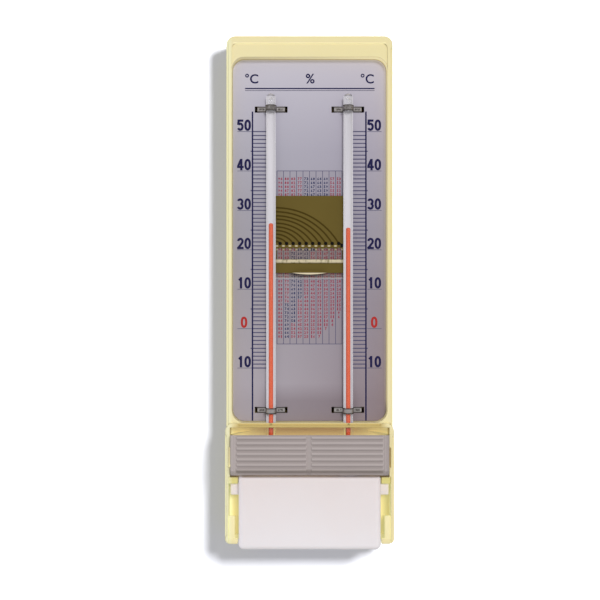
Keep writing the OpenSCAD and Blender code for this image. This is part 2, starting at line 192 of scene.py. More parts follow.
# case tones: warm is painted bounce light, ledge and bar are painted shade, pale is a painted highlight, and the
# glows are painted bounce light
cream = {
    "front": tone(237, 225, 177), "deep": tone(233, 218, 158), "warm": tone(226, 200, 116),
    "ledge": tone(218, 209, 124), "pale": tone(242, 240, 200), "bar": tone(205, 182, 116),
    "dark": tone(0, 0, 0), "bayGlow": tone(120, 100, 78), "coveGlow": tone(146, 141, 106),
    "channelGlow": tone(122, 130, 98), "slitGlow": tone(180, 174, 140), "notchGlow": tone(122, 108, 70),
    "wallGlow": tone(172, 164, 130), "rimGlow": tone(150, 146, 118),
    "grain": 900.0, "roughness": 0.42, "edge": 0.5,
    "deepDepths": (6.0, 17.0), "backDepths": (0.2, 0.6), "insideDepths": (0.6, 2.2),
    "paleX": (-45.6, -43.4), "coveAcross": (24.0, 40.0), "channelX": (-40.0, 40.0),
    "wallX": (-44.0, 40.0), "wallFades": (206.0, 216.0),
}
# parts of the case that get painted light and shade: warmer, darker and glowing zones, in millimetres
caseZones = {
    "hollow": {"across": (46.3, 0.6)},
    "ledge": {"drop": (249.6, 252.9, 0.2), "across": (40.6, 45.6, 0.3)},
    "bar": {"drop": (219.4, 222.6, 0.8), "across": (40.0, 4.0)},
    "bay": {"drop": (221.0, 231.0, 1.2), "across": (44.5, 0.4), "depth": (2.0, 15.0, 6.0)},
    "channel": {"drop": (252.9, 290.0, 0.3), "across": (39.0, 45.95, 0.15), "depth": (7.0, 22.4, 0.6)},
    "slit": {"drop": (231.0, 245.0, 0.5), "x": (-46.6, -45.0, 0.2), "depth": (7.0, 21.5, 0.8)},
    "notch": {"drop": (231.0, 245.0, 0.5), "x": (44.6, 45.9, 0.15), "depth": (11.0, 22.4, 0.6)},
    "wall": {"drop": (11.6, 218.9, 0.2), "across": (44.2, 0.1), "depth": (15.4, 19.9, 0.3)},
    "rim": {"drop": (4.1, 4.4, 0.35), "across": (42.0, 1.5), "depth": (20.3, 40.0, 0.3)},
}


def creamPlastic():
    # warm cream that drifts a little with slow noise, with fine moulding grain. Walls and floors
    # deep in the case are painted warmer, as painted bounce light from the other cream walls
    f = Finish("cream_plastic")
    at = f.spot()
    part = {name: f.zone(at, limits) for name, limits in caseZones.items()}
    drift = f.within(f.noise(22.0, 2.0), 0.3, 0.7)
    deep = (1 - f.within(at["depth"], *cream["deepDepths"])) * f.within(at["depth"], *cream["backDepths"])
    inside = f.within(at["depth"], *cream["insideDepths"])
    # painted light and shade in the base colour
    tints = {
        "warm": deep * part["hollow"] * 0.75,
        # painted shade on the ledges above the lugs, under the cover
        "ledge": part["ledge"] * inside * 0.8,
        # painted highlight on the left rim, whose rounding faces away from the sun
        "pale": (1 - f.within(at["x"], *cream["paleX"])) * 0.75,
        # painted shade on the bar's lower edge and just under it
        "bar": part["bar"] * inside,
    }
    colour = f.blend(drift * 0.35, cream["front"], cream["deep"])
    for name, share in tints.items():
        colour = f.blend(share, colour, cream[name])
    # painted bounce light: cream walls pass light on to each other, so the bay, the channels and the
    # slots beside it get a painted glow, and so do the rim's low step and the walls round the plate,
    # most on the right and at the top
    bayGlow = f.blend(f.within(at["across"], *cream["coveAcross"]), cream["bayGlow"], cream["coveGlow"])
    channel = part["channel"] * (0.7 + 0.3 * f.within(at["x"], *cream["channelX"]))
    wall = part["wall"] * (0.3 + 0.7 * f.within(at["x"], *cream["wallX"]))
    wall = wall * (1 - 0.75 * f.within(at["drop"], *cream["wallFades"]))
    glow = cream["dark"]
    for share, light in (
        (part["bay"] * inside, bayGlow), (channel, cream["channelGlow"]), (part["slit"], cream["slitGlow"]),
        (part["notch"], cream["notchGlow"]), (wall, cream["wallGlow"]), (part["rim"], cream["rimGlow"]),
    ):
        glow = f.blend(share, glow, light)
    return f.show(f.surface({
        "Base Color": colour,
        "Emission Color": glow,
        "Emission Strength": 1.0,
        "Roughness": cream["roughness"] + 0.08 * f.noise(140.0, 2.0),
        "Specular IOR Level": 0.3,
        "Subsurface Weight": 0.06,
        "Subsurface Radius": (0.9, 0.8, 0.4),
        "Subsurface Scale": 0.001,
        "Normal": f.bump(f.noise(cream["grain"], 2.0), 0.12, 0.00012, f.eased(cream["edge"])),
    }))


recess = {"half": 44.0, "drops": (12.0, 218.8), "round": 7.0}
# tones of the plate: the left and right ramps are painted reflection, shade is painted shade at the foot and also a
# print tint under the table, wallLight is painted bounce light
plate = {
    "ramp": (13.0, 206.0), "stops": (0.0, 0.27, 0.5, 0.68, 1.0), "sideX": (-20.0, 42.0),
    "left": ((198, 194, 206), (172, 169, 181), (159, 155, 165), (160, 154, 161), (171, 163, 171)),
    "right": ((195, 189, 200), (166, 160, 175), (153, 147, 160), (147, 138, 149), (139, 124, 130)),
    "ink": tone(160, 156, 167), "sheen": tone(190, 188, 200), "shade": tone(112, 98, 104),
    "footDrops": (197.0, 207.0), "footX": (-22.0, 24.0, 8.0),
    "tableZone": {"x": (-18.7, 18.7, 0.1), "drop": (75.6, 174.7, 0.1)},
    "wallLight": tone(128, 122, 106), "border": (0.2, 1.6), "lightX": (-30.0, 40.0), "lightDrops": (13.0, 20.0),
}


def satinAluminium():
    # satin sheet: lilac grey with fine lines rolled into it, painted as a reflection of the room: lighter at
    # the top, darker down its length and towards the right. Painted bounce light from the cream walls lies on its
    # border: the distance from the border is the corner's radius less the length of the part of the spot beyond the
    # corner's centre
    f = Finish("satin_aluminium")
    at = f.spot()
    x, drop = at["x"], at["drop"]
    # painted reflection: light at the top, darker down the plate's length, the right ramp darker than the left
    level = f.within(drop, *plate["ramp"])
    left, right = (
        f.node("ValToRGB", {"stops": [(stop, tone(*shade)) for stop, shade in zip(plate["stops"], plate[side])]},
               {"Fac": level})
        for side in ("left", "right"))
    lines = f.noise(60.0, 4.0, (1.0, 1.0, 26.0))
    cloud = f.within(f.noise(30.0, 3.0), 0.25, 0.75)
    colour = f.blend(f.within(x, *plate["sideX"]), left, right)
    colour = f.blend(cloud * 0.06 + lines * 0.04, colour, plate["sheen"])
    # painted shade at the plate's foot, deepest in the middle
    foot = f.within(drop, *plate["footDrops"]) * (0.12 + 0.35 * f.band(x, *plate["footX"]))
    colour = f.blend(foot, colour, plate["shade"])
    # a faint print tint under the dense figures of the table
    colour = f.blend(f.zone(at, plate["tableZone"]) * 0.16, colour, plate["shade"])
    # painted bounce light: an emitted glow along the border, most on the right and at the top
    top, bottom = recess["drops"]
    across = (at["across"] - (recess["half"] - recess["round"])).most(0.0)
    along = (top + recess["round"] - drop).most(drop - (bottom - recess["round"])).most(0.0)
    border = recess["round"] - (across * across + along * along).root()
    side = f.within(x, *plate["lightX"]).most(1 - f.within(drop, *plate["lightDrops"]))
    light = (1 - f.within(border, *plate["border"])) * (0.15 + 0.75 * side)
    light = light * (1 - f.within(drop, *cream["wallFades"]))
    return f.show(f.surface({
        "Base Color": colour,
        "Emission Color": f.blend(light, cream["dark"], plate["wallLight"]),
        "Emission Strength": 1.0,
        "Metallic": 0.08,
        "Roughness": 0.42 + 0.16 * lines,
        "Specular IOR Level": 0.1,
        "Normal": f.bump(lines, 0.06, 0.00005),
    }))


def printedInk(name, colour, speck):
    # screen ink: nearly flat, with tiny pale specks where the metal shows through
    f = Finish(name)
    gaps = f.within(f.noise(2600.0, 2.0), 0.62, 0.80)
    return f.show(f.surface({
        "Base Color": f.blend(gaps * speck, colour, plate["ink"]),
        "Roughness": 0.5 + 0.1 * gaps,
        "Specular IOR Level": 0.06,
    }))


def clearBody(name, tint, ior, roughness, shine):
    # clear glass or sheet that bends what is seen through it. It lets the lamps' light and the
    # soft light of the room pass straight
    f = Finish(name)
    haze = f.noise(90.0, 2.0, (1.0, 1.0, 0.2))
    glass = f.surface({
        "Base Color": tint,
        "Roughness": roughness + 0.02 * haze,
        "IOR": ior,
        "Specular IOR Level": shine,
        "Transmission Weight": 1.0,
    })
    clear = f.node("BsdfTransparent", {}, {"Color": tint})
    straight = f.node("LightPath", out="Is Shadow Ray").most(f.node("LightPath", out="Is Diffuse Ray"))
    return f.show(f.node("MixShader", {}, {0: straight, 1: glass, 2: clear}))


def mottled(name, first, second, pattern, roughness, sockets=None, edges=None, relief=None):
    # two tones mixed by one noise. It also roughens the surface, from a lowest value by a gain,
    # and with a relief it stands out of the surface. Edges sharpen it
    f = Finish(name)
    grain = f.noise(*pattern)
    if edges:
        grain = f.within(grain, *edges)
    lowest, gain = roughness
    values = {
        "Base Color": f.blend(grain, first, second),
        "Roughness": lowest + gain * grain if gain else lowest,
        **(sockets or {}),
    }
    if relief:
        values["Normal"] = f.bump(grain, *relief)
    return f.show(f.surface(values))


# the dark tone is for the darker edges and the painted reflections of the dark room
steel = {
    "light": tone(158, 153, 152), "dark": tone(52, 47, 42), "cut": (0.85, 0.5), "bar": (0.35, 0.8),
    "barAside": (4.0, 6.6, 0.5), "archAside": (2.4, 3.2), "paler": (120.0, 130.0),
}


def brightSteel():
    # spring strip: polished and slightly wavy. It is darker along its top and bottom edges, painted
    # reflections of the dark room lie in a broken bar along each wing's middle and on the arch over the tube, most at
    # the top clips
    f = Finish("bright_steel")
    at = f.spot()
    high, low = ((at["drop"] - clip["drops"][level]).size() for level in ("upper", "lower"))
    off = high.least(low)
    aside = (at["across"] - tube["x"]).size()
    ragged = f.noise(900.0, 3.0)
    edge = f.within(off, *(clip["high"] / 2 - inset for inset in steel["cut"]))
    # painted reflection of the dark room: a broken bar along each wing
    bar = (1 - f.within(off, *steel["bar"])) * f.band(aside, *steel["barAside"])
    # painted reflection on the arch over the tube, paler at the lower clips
    arch = (1 - f.within(aside, *steel["archAside"])) * (0.35 + 0.5 * f.within(ragged, 0.38, 0.6))
    arch = arch * (1 - 0.7 * f.within(at["drop"], *steel["paler"]))
    dark = edge.most(bar * f.within(ragged, 0.36, 0.52)).most(arch)
    return f.show(f.surface({
        "Base Color": f.blend(dark * 0.8, steel["light"], steel["dark"]),
        "Metallic": 0.9,
        "Roughness": 0.3 + 0.2 * dark,
        "Normal": f.bump(f.noise(420.0, 2.0, (1.0, 1.0, 0.4)), 0.35, 0.0004),
    }))


# the zones of the brass's painted highlights follow the cursor's sizes below; light is their colour
brass = {
    "sheet": tone(100, 85, 36), "cloud": tone(91, 76, 29), "line": tone(112, 96, 42), "light": tone(240, 228, 196),
    "beadDrops": (126.4, 128.35, 0.2), "beadDepths": (16.56, 16.86),
    "restDrops": (133.9, 134.15), "restDepths": (16.76, 17.06),
    "lipDrops": (118.45, 118.85, 0.3), "lipWave": (0.45, 0.9),
    "tipStart": (119.95, 120.55), "tipStop": (120.95, 121.25), "windowAcross": (18.7, 0.4),
}


def goldBrass():
    # dull gold sheet with rolling lines. Painted highlights lie on its bead, the lower edge of the thumb rest,
    # the bent lip between two reading points and the tips of the reading edge beside the window
    f = Finish("gold_brass")
    at = f.spot()
    depth, drop = at["depth"], at["drop"]
    lines = f.noise(70.0, 3.0, (0.4, 1.0, 14.0))
    cloud = f.within(f.noise(45.0, 2.0), 0.3, 0.7)
    ragged = f.within(f.noise(620.0, 2.0, (1.0, 1.0, 0.3)), 0.3, 0.5)
    colour = f.blend(cloud * 0.4, brass["sheet"], brass["cloud"])
    colour = f.blend(lines * 0.2, colour, brass["line"])
    bead = f.band(drop, *brass["beadDrops"]) * f.within(depth, *brass["beadDepths"])
    rest = f.within(drop, *brass["restDrops"]) * f.within(depth, *brass["restDepths"])
    between = 0.5 - 0.5 * ((at["x"] - cursor["dots"][0]) * (2 * math.pi / cursor["pitch"])).wave()
    lip = f.band(drop, *brass["lipDrops"]) * f.within(between, *brass["lipWave"])
    tips = f.within(drop, *brass["tipStart"]) * (1 - f.within(drop, *brass["tipStop"]))
    tips = tips * f.upTo(at["across"], *brass["windowAcross"])
    # painted highlights
    bright = (bead * (0.18 + 0.5 * ragged)).most(rest * 0.8).most(lip * 0.65).most(tips * 0.48)
    return f.show(f.surface({
        "Base Color": f.blend(bright, colour, brass["light"]),
        "Metallic": 0.4 * (1 - bright),
        "Roughness": 0.4 + 0.14 * lines,
        "Specular IOR Level": 0.25,
        "Normal": f.bump(lines, 0.1, 0.00005, f.eased(0.12)),
    }))


# dark and under are painted shade tones
grey = {
    "light": tone(180, 170, 168), "cloud": tone(172, 162, 160), "dark": tone(138, 128, 126),
    "under": tone(136, 126, 120),
    "underZone": {"drop": (244.2, 245.6, 0.9), "across": (40.4, 1.0)}, "frontDepths": (20.0, 24.0),
    "cheekX": (41.0, 44.0), "middleStripX": (-1.6, 0.6, 0.2), "grooveRows": (-1.0, 1.4, 0.2), "grooveEnds": (0.6, 0.5),
    "grooveDepths": (-0.5, -0.2), "grooveWave": (0.25, 0.75),
}


def greyPlastic():
    # warm grey moulding with a fine spark-eroded grain. Painted shade darkens the grooves between its ribs,
    # the turn under its front and its right cheek, and a narrow strip down its middle is darker
    f = Finish("grey_plastic")
    at = f.spot()
    x, depth, drop = at["x"], at["depth"], at["drop"]
    drift = f.within(f.noise(26.0, 2.0), 0.3, 0.7)
    grain = f.noise(1500.0, 2.0)
    crest = 0.5 + 0.5 * ((drop - cover["ribFirst"]) * (2 * math.pi / cover["ribPitch"])).wave()
    above, below, soft = grey["grooveRows"]
    last = cover["ribFirst"] + cover["ribPitch"] * (cover["ribs"] - 1)
    end, fade = grey["grooveEnds"]
    # painted shade in the grooves between the ribs
    groove = (1 - f.within(crest, *grey["grooveWave"])) * f.band(drop, cover["ribFirst"] + above, last + below, soft)
    groove = groove * sum(f.band(x, left + end, right - end, fade) for left, right in cover["ribX"])
    groove = groove * f.within(depth, *(cover["front"] + step for step in grey["grooveDepths"]))
    front = f.within(depth, *grey["frontDepths"])
    # painted shade on the right cheek, and a darker narrow strip down the middle
    cheek = (f.within(x, *grey["cheekX"]) * 0.6).most(f.band(x, *grey["middleStripX"]) * 0.3)
    colour = f.blend(drift * 0.5, grey["light"], grey["cloud"])
    # painted shade where the front turns in underneath
    colour = f.blend(f.zone(at, grey["underZone"]) * front * 0.9, colour, grey["under"])
    colour = f.blend(cheek * front, colour, grey["dark"])
    return f.show(f.surface({
        "Base Color": f.blend(groove * 0.45, colour, grey["dark"]),
        "Roughness": 0.5 + 0.1 * grain,
        "Specular IOR Level": 0.3,
        "Normal": f.bump(grain, 0.15, 0.0001),
    }))


# fall is the reach of the painted shade under the cover, light the painted glow on the left edge
milky = {
    "fall": (250.0, 286.0), "litX": (-39.6, -37.2), "leftX": (-40.0, 0.0, 0.3), "light": tone(106, 106, 118),
}


def milkyPlastic(name, first, second):
    # blown milky plastic: light soaks in, and the wall's thickness clouds it slowly. It is painted
    # greyer towards its top as painted shade under the cover, and a painted glow brightens its left edge, for light
    # that comes through it
    f = Finish(name)
    at = f.spot()
    cloud = f.within(f.noise(24.0, 3.0), 0.3, 0.7)
    ripple = f.noise(60.0, 2.0)
    # painted shade towards the top, under the cover
    fall = 1 - f.within(at["drop"], *milky["fall"])
    # painted glow on the left edge
    lit = (1 - f.within(at["x"], *milky["litX"])) * f.band(at["x"], *milky["leftX"])
    return f.show(f.surface({
        "Base Color": f.blend(fall * 0.75 + cloud * 0.25, first, second),
        "Emission Color": f.blend(lit, cream["dark"], milky["light"]),
        "Emission Strength": 1.0,
        "Roughness": 0.4 + 0.08 * ripple,
        "Specular IOR Level": 0.25,
        "Subsurface Weight": 0.3,
        "Subsurface Radius": (1.0, 0.9, 0.85),
        "Subsurface Scale": 0.002,
        "Normal": f.bump(ripple, 0.08, 0.0006),
    }))


def foamTape():
    # closed foam: white with small pores
    f = Finish("foam_tape")
    pores = f.node("TexVoronoi", {}, {"Vector": f.place(), "Scale": 1800.0})
    return f.show(f.surface({
        "Base Color": f.blend(pores, tone(205, 203, 198), tone(236, 235, 232)),
        "Roughness": 0.8,
        "Normal": f.bump(pores, 0.4, 0.0002),
    }))


face = {"depth": 15.2, "film": 0.03, "over": 0.036}
inkDepths, overDepths = ((face["depth"], face["depth"] + face[layer]) for layer in ("film", "over"))
tube = {
    "x": 21.9, "r": 2.74, "depth": 18.94, "top": 32.3, "bulbBottom": 239.6, "bulbR": 3.4, "bulbLong": 11.0,
    "neck": 2.4, "bore": 0.87, "wall": 0.7, "chamber": 0.8, "chamberDrops": (3.4, 4.6, 6.2), "thread": 0.3,
    "opal": (33.9, 219.3), "opalIn": 1.4, "opalOut": 2.6, "opalFront": 0.1,
    "readings": {"dry": 106.0, "wet": 108.5},
}
clip = {
    "high": 3.3, "thick": 0.4, "reach": 8.0, "tab": 2.6, "bend": 0.45,
    "seat": 14.4, "drops": {"upper": 40.7, "lower": 212.2},
}
cursor = {
    "top": 90.1, "low": 137.1, "half": 21.35, "back": 15.26, "thick": 0.7, "sheetFront": 16.46,
    "film": 0.03, "left": -19.2, "dotDrop": 117.25, "dotR": 1.0, "line": 0.92, "dotFirst": -16.75, "pitch": 3.71,
    "starts": (96.9, 99.18, 101.46, 103.4, 105.68, 107.78, 109.83, 111.94, 114.04, 115.98),
    "cut": (136.8, 137.08), "arrow": ((17.6, 117.1), (21.2, 118.35), (17.6, 119.6)),
}
cursor["dots"] = tuple(cursor["dotFirst"] + cursor["pitch"] * place for place in range(len(cursor["starts"])))
cover = {
    "half": 44.3, "drops": (224.6, 247.5), "front": 29.8, "thick": 2.0, "cheekBack": 8.4,
    "bevelTop": 244.4, "bevelIn": 3.2, "corner": 0.9, "lip": 0.7,
    "ribFirst": 225.95, "ribPitch": 3.0, "ribs": 7, "ribTall": 0.95, "ribEnd": 0.6,
    "ribX": ((-40.9, -1.7), (0.7, 41.0)), "edgeLine": (-42.0, 42.0), "edgeTall": 0.3, "edgeWide": 0.55, "fine": 1.3,
    "tongue": ((233.0, 243.3), (12.4, 16.0), 45.45), "notch": 4.5,
}

caseFinish = creamPlastic()
plateFinish = satinAluminium()
inks = {
    name: printedInk(name + "_ink", tone(*colour), speck) for name, colour, speck in (
        ("navy", (34, 33, 72), 0.2), ("tick", (92, 90, 116), 0.2), ("red", (172, 52, 50), 0.2),
        ("table_red", (150, 66, 84), 0.2), ("table_blue", (52, 56, 92), 0.2),
        ("curve", (66, 53, 14), 0.02), ("black", (18, 16, 14), 0.05),
    )
}
glassFinish = clearBody("clear_glass", tone(250, 251, 252), 1.5, 0.0, 0.05)
# faint warm tint of the plastic; it also darkens the reading window as painted shade under the brass
sheetFinish = clearBody("clear_plastic", tone(241, 236, 231), 1.2, 0.02, 0.2)
# milk glass with faint grey streaks along its length
opalFinish = mottled("opal_glass", tone(206, 202, 207), tone(221, 217, 221), (520.0, 2.0, (1.0, 1.0, 0.03)),
                     (0.8, 0.1), {"Specular IOR Level": 0.0}, edges=(0.3, 0.7))
# dyed spirit: orange red, a little paler where fine bubbles cling, with a faint painted glow
spiritFinish = mottled("red_spirit", tone(212, 82, 48), tone(224, 100, 62), (700.0, 2.0), (0.3, 0.1), {
    "Specular IOR Level": 0.1, "Emission Color": tone(224, 84, 48), "Emission Strength": 0.06})
steelFinish = brightSteel()
brassFinish = goldBrass()
greyFinish = greyPlastic()
bottleFinish = milkyPlastic("milky_bottle", tone(235, 231, 234), tone(230, 220, 219))
capFinish = milkyPlastic("milky_cap", tone(230, 228, 232), tone(228, 226, 228))
# white pad, slightly dusty
padFinish = mottled("white_pad", tone(196, 193, 196), tone(214, 212, 214), (500.0, 3.0), (0.6, 0.15))
# cotton: matt off-white, greyer in the gaps of its braid, with a nap of loose fibre
cottonFinish = mottled("cotton", tone(218, 213, 200), tone(242, 239, 231), (2400.0, 3.0, (1.0, 1.0, 0.3)),
                       (0.85, 0.0), {"Sheen Weight": 0.3}, relief=(0.4, 0.0001))
tapeFinish = foamTape()

print("mesh tools")


def closedShell(rings, wrapRows=False, inward=False):
    # rings is rows x columns x 3. Columns always close on themselves. Rows close too, or each end
    # ring closes on its own middle. Faces are turned by the sign of the enclosed volume.
    rows, cols, _ = rings.shape
    points = rings.reshape(-1, 3)
    r, c = np.meshgrid(np.arange(rows if wrapRows else rows - 1), np.arange(cols), indexing="ij")
    up, along = (r + 1) % rows, (c + 1) % cols
    quads = np.stack([r * cols + c, r * cols + along, up * cols + along, up * cols + c], -1).reshape(-1, 4)
    fans = np.zeros((0, 3), int)
    if not wrapRows:
        points = np.vstack([points, rings[0].mean(0), rings[-1].mean(0)])
        ring = np.arange(cols)
        after = (ring + 1) % cols
        last = (rows - 1) * cols
        fans = np.vstack([
            np.stack([after, ring, np.full(cols, rows * cols)], -1),
            np.stack([last + ring, last + after, np.full(cols, rows * cols + 1)], -1),
        ])
    corners = np.vstack([quads[:, [0, 1, 2]], quads[:, [0, 2, 3]], fans])
    a, b, d = points[corners[:, 0]], points[corners[:, 1]], points[corners[:, 2]]
    volume = np.einsum("ij,ij->", a, np.cross(b, d))
    if (volume < 0) != inward:
        quads, fans = quads[:, ::-1], fans[:, ::-1]
    return points, quads.tolist() + fans.tolist()


def newPiece(name, parts, finish, body, smooth=40):
    # joins (points, faces) parts into one mesh in place, and hands it to its body
    points, faces, start = [], [], 0
    for spots, sides in parts:
        points.append(spots)
        faces += [[start + corner for corner in side] for side in sides]
        start += len(spots)
    mesh = bpy.data.meshes.new(name)
    mesh.from_pydata((np.vstack(points) * mm).tolist(), [], faces)
    mesh.shade_smooth()
    mesh.set_sharp_from_angle(angle=math.radians(smooth))
    mesh.materials.append(finish.material)
    piece = bpy.data.objects.new(name, mesh)
    link(piece)
    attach(piece, body)
    return piece


def printed(name, parts, ink):
    # a print on the scale plate
    newPiece(name, parts, inks[ink], "root")


def grid(x, depth, level):
    # rows and columns of points from three arrays that fit each other
    return np.stack(np.broadcast_arrays(x, -np.asarray(depth, float), level), -1)


def turned(radii, drops, x, depth, sides=48):
    # lathe: each profile point goes round the upright axis through (x, depth). Its radius may
    # change from side to side
    angle = around(sides)
    radius, drop = np.asarray(radii, float).reshape(len(drops), -1), np.asarray(drops, float)[:, None]
    return grid(x + radius * np.cos(angle), depth - radius * np.sin(angle), zAt(drop))


def slabRing(half, r, steps):
    # outline of a rounded rectangle: straight sides between four arcs, each point with the
    # direction that it faces
    turn = np.linspace(0, math.pi / 2, steps)
    middle, facing = [], []
    for quarter, (sx, sy) in enumerate([(1, 1), (-1, 1), (-1, -1), (1, -1)]):
        angle = turn + quarter * math.pi / 2
        direction = np.stack([np.cos(angle), np.sin(angle)], -1)
        middle.append(np.array([sx * (half[0] - r), sy * (half[1] - r)]) + r * direction)
        facing.append(direction)
    return np.vstack(middle), np.vstack(facing)


def softBlock(x, drop, depth, r, steps=5):
    # box with every edge rounded alike: each hemisphere of a small ball pushed to the ends
    half = np.array([x[1] - x[0], depth[1] - depth[0]]) / 2
    middle = np.array([(x[0] + x[1]) / 2, -(depth[0] + depth[1]) / 2])
    lift = np.linspace(-math.pi / 2, math.pi / 2, 2 * steps)
    lift[0], lift[-1] = -math.pi / 2 + 0.02, math.pi / 2 - 0.02
    outline, facing = slabRing(half, r, steps)
    plan = middle + (outline - r * facing)[None] + r * np.cos(lift)[:, None, None] * facing[None]
    level = np.where(lift > 0, zAt(drop[0]) - r, zAt(drop[1]) + r) + r * np.sin(lift)
    return closedShell(grid(plan[:, :, 0], -plan[:, :, 1], level[:, None]))


def bars(x, drop, depth):
    # many plain bars at once from arrays of limits, for printed rules and ticks
    x, drop = np.atleast_2d(x), np.atleast_2d(drop)
    count = max(len(x), len(drop))
    x, drop = np.broadcast_to(x, (count, 2)), np.broadcast_to(drop, (count, 2))
    grid = np.array([[i, j, k] for i in (0, 1) for j in (0, 1) for k in (0, 1)])
    points = np.stack([
        x[:, grid[:, 0]],
        np.broadcast_to(-np.array(depth)[grid[:, 1]], (count, 8)),
        zAt(drop)[:, grid[:, 2]],
    ], -1)
    sides = np.array([[0, 1, 3, 2], [4, 6, 7, 5], [0, 4, 5, 1], [2, 3, 7, 6], [0, 2, 6, 4], [1, 5, 7, 3]])
    faces = (np.arange(count)[:, None, None] * 8 + sides).reshape(-1, 4)
    return points.reshape(-1, 3), faces.tolist()


def bow(x, y, wide, tall, start, stop, steps=20):
    # points on an ellipse between two angles in degrees
    angle = np.radians(np.linspace(start, stop, steps))
    return np.stack([x + wide * np.cos(angle), y + tall * np.sin(angle)], -1)


def stroke(path, width, spot, depth, film, loop=False):
    # flat stroke of even width along a path that is drawn round the spot (x, drop)
    along = np.roll(path, -1, 0) - np.roll(path, 1, 0) if loop else np.gradient(path, axis=0)
    along = along / np.linalg.norm(along, axis=1, keepdims=True)
    side = np.stack([-along[:, 1], along[:, 0]], -1) * width / 2
    edge = np.stack([path + side, path + side, path - side, path - side], 1)
    return closedShell(grid(
        spot[0] + edge[:, :, 0], depth + np.array([0, film, film, 0]), zAt(spot[1]) + edge[:, :, 1]), wrapRows=loop)


def flatShape(outline, depth, film):
    # plain printed patch from the (x, drop) points of its outline
    x, drop = np.asarray(outline, float).T
    return closedShell(grid(x, [[depth], [depth + film]], zAt(drop)))


def glyph(text, height, weight, steps):
    # one text made a thin mesh: x along the line, y up it, z out of the page
    curve = bpy.data.curves.new("glyph", "FONT")
    curve.body = text
    curve.size = 10.0
    curve.extrude = height / 2
    curve.offset = weight
    curve.resolution_u = steps
    holder = bpy.data.objects.new("glyph", curve)
    link(holder)
    bpy.context.view_layer.update()
    mesh = bpy.data.meshes.new_from_object(holder.evaluated_get(bpy.context.evaluated_depsgraph_get()))
    points = np.empty(len(mesh.vertices) * 3)
    mesh.vertices.foreach_get("co", points)
    points = points.reshape(-1, 3)
    points[:, :2] -= (points[:, :2].min(0) + points[:, :2].max(0)) / 2
    faces = [list(side.vertices) for side in mesh.polygons]
    bpy.data.objects.remove(holder)
    bpy.data.curves.remove(curve)
    bpy.data.meshes.remove(mesh)
    return points, faces


def stood(shape, x, drop):
    # stands a glyph up on the scale plate, its middle at (x, drop)
    points, faces = shape
    return grid(x + points[:, 0], sum(inkDepths) / 2 + points[:, 2], zAt(drop) + points[:, 1]), faces


def dress(node, finish):
    # gives a CAD node that stays its material
    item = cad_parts[node]
    item.data.materials.clear()
    item.data.materials.append(finish.material)


print("camera and light")

view = {"x": -5.42, "distance": 541.0, "drop": 149.44, "fieldDegrees": 36.1, "sensor": 36.0, "nearest": 0.01}
lens = bpy.data.cameras.new("camera")
lens.sensor_width = view["sensor"]
lens.lens = view["sensor"] / 2 / math.tan(math.radians(view["fieldDegrees"] / 2))
lens.clip_start = view["nearest"]
camera = bpy.data.objects.new("camera", lens)
camera.location = (view["x"] * mm, -view["distance"] * mm, zAt(view["drop"]) * mm)
camera.rotation_euler = (math.radians(90), 0, 0)
link(camera)
bpy.context.scene.camera = camera
bpy.context.scene.view_settings.view_transform = "Standard"

lamps = {
    "sun": {"aside": 0.2, "above": 0.34, "softDegrees": 17.0, "share": 0.5},
    "near": {"x": 303.0, "depth": 560.0, "drop": -58.0, "wide": 210.0, "watts": 9.6,
             "tiltDegrees": 72.0, "turnDegrees": 29.0},
    "fill": 0.5,
}


def hung(name, kind, energy, turn, spot=(0, 0, 0)):
    lamp = bpy.data.lights.new(name, kind)
    lamp.energy = energy
    holder = bpy.data.objects.new(name, lamp)
    holder.location = spot
    holder.rotation_euler = turn
    link(holder)
    return holder


def objectSun():
    # a sun from the right and above. A face turned to the room gets its share of full light
    values = lamps["sun"]
    aside, above = values["aside"], values["above"]
    energy = values["share"] * math.pi * math.sqrt(aside ** 2 + 1 + above ** 2)
    holder = hung("object_sun", "SUN", energy, (math.atan(math.hypot(1, aside) / above), 0, math.atan2(aside, 1)))
    holder.data.angle = math.radians(values["softDegrees"])
    holder.visible_glossy = False  # a wide soft box: no hard glints on glass and steel
    return holder


def wallLamp():
    # a round lamp close by, so that the shadow's offset grows down the wall and to the left
    values = lamps["near"]
    turn = (math.radians(values["tiltDegrees"]), 0, math.radians(values["turnDegrees"]))
    spot = (values["x"] * mm, -values["depth"] * mm, zAt(values["drop"]) * mm)
    holder = hung("wall_lamp", "AREA", values["watts"], turn, spot)
    holder.data.shape = "DISK"
    holder.data.size = values["wide"] * mm
    return holder


world = bpy.data.worlds.new("room")
bpy.context.scene.world = world
world.use_nodes = True
sky = Finish("room", world.node_tree)
seen = sum(sky.node("LightPath", out=ray) for ray in ("Is Camera Ray", "Is Glossy Ray", "Is Transmission Ray"))
glow = sky.within(seen, 0.0, 1.0) * (1 - lamps["fill"]) + lamps["fill"]
lit = sky.node("Background", {}, {"Color": (1, 1, 1, 1), "Strength": glow})
sky.node("OutputWorld", {}, {"Surface": lit})

# the wall's sizes are in metres
wallLook = {"matt": (0.85, 0.86, 0.92, 1), "shine": 0.03, "fade": (0.34, 0.42), "half": 3.0, "behind": 0.0004}


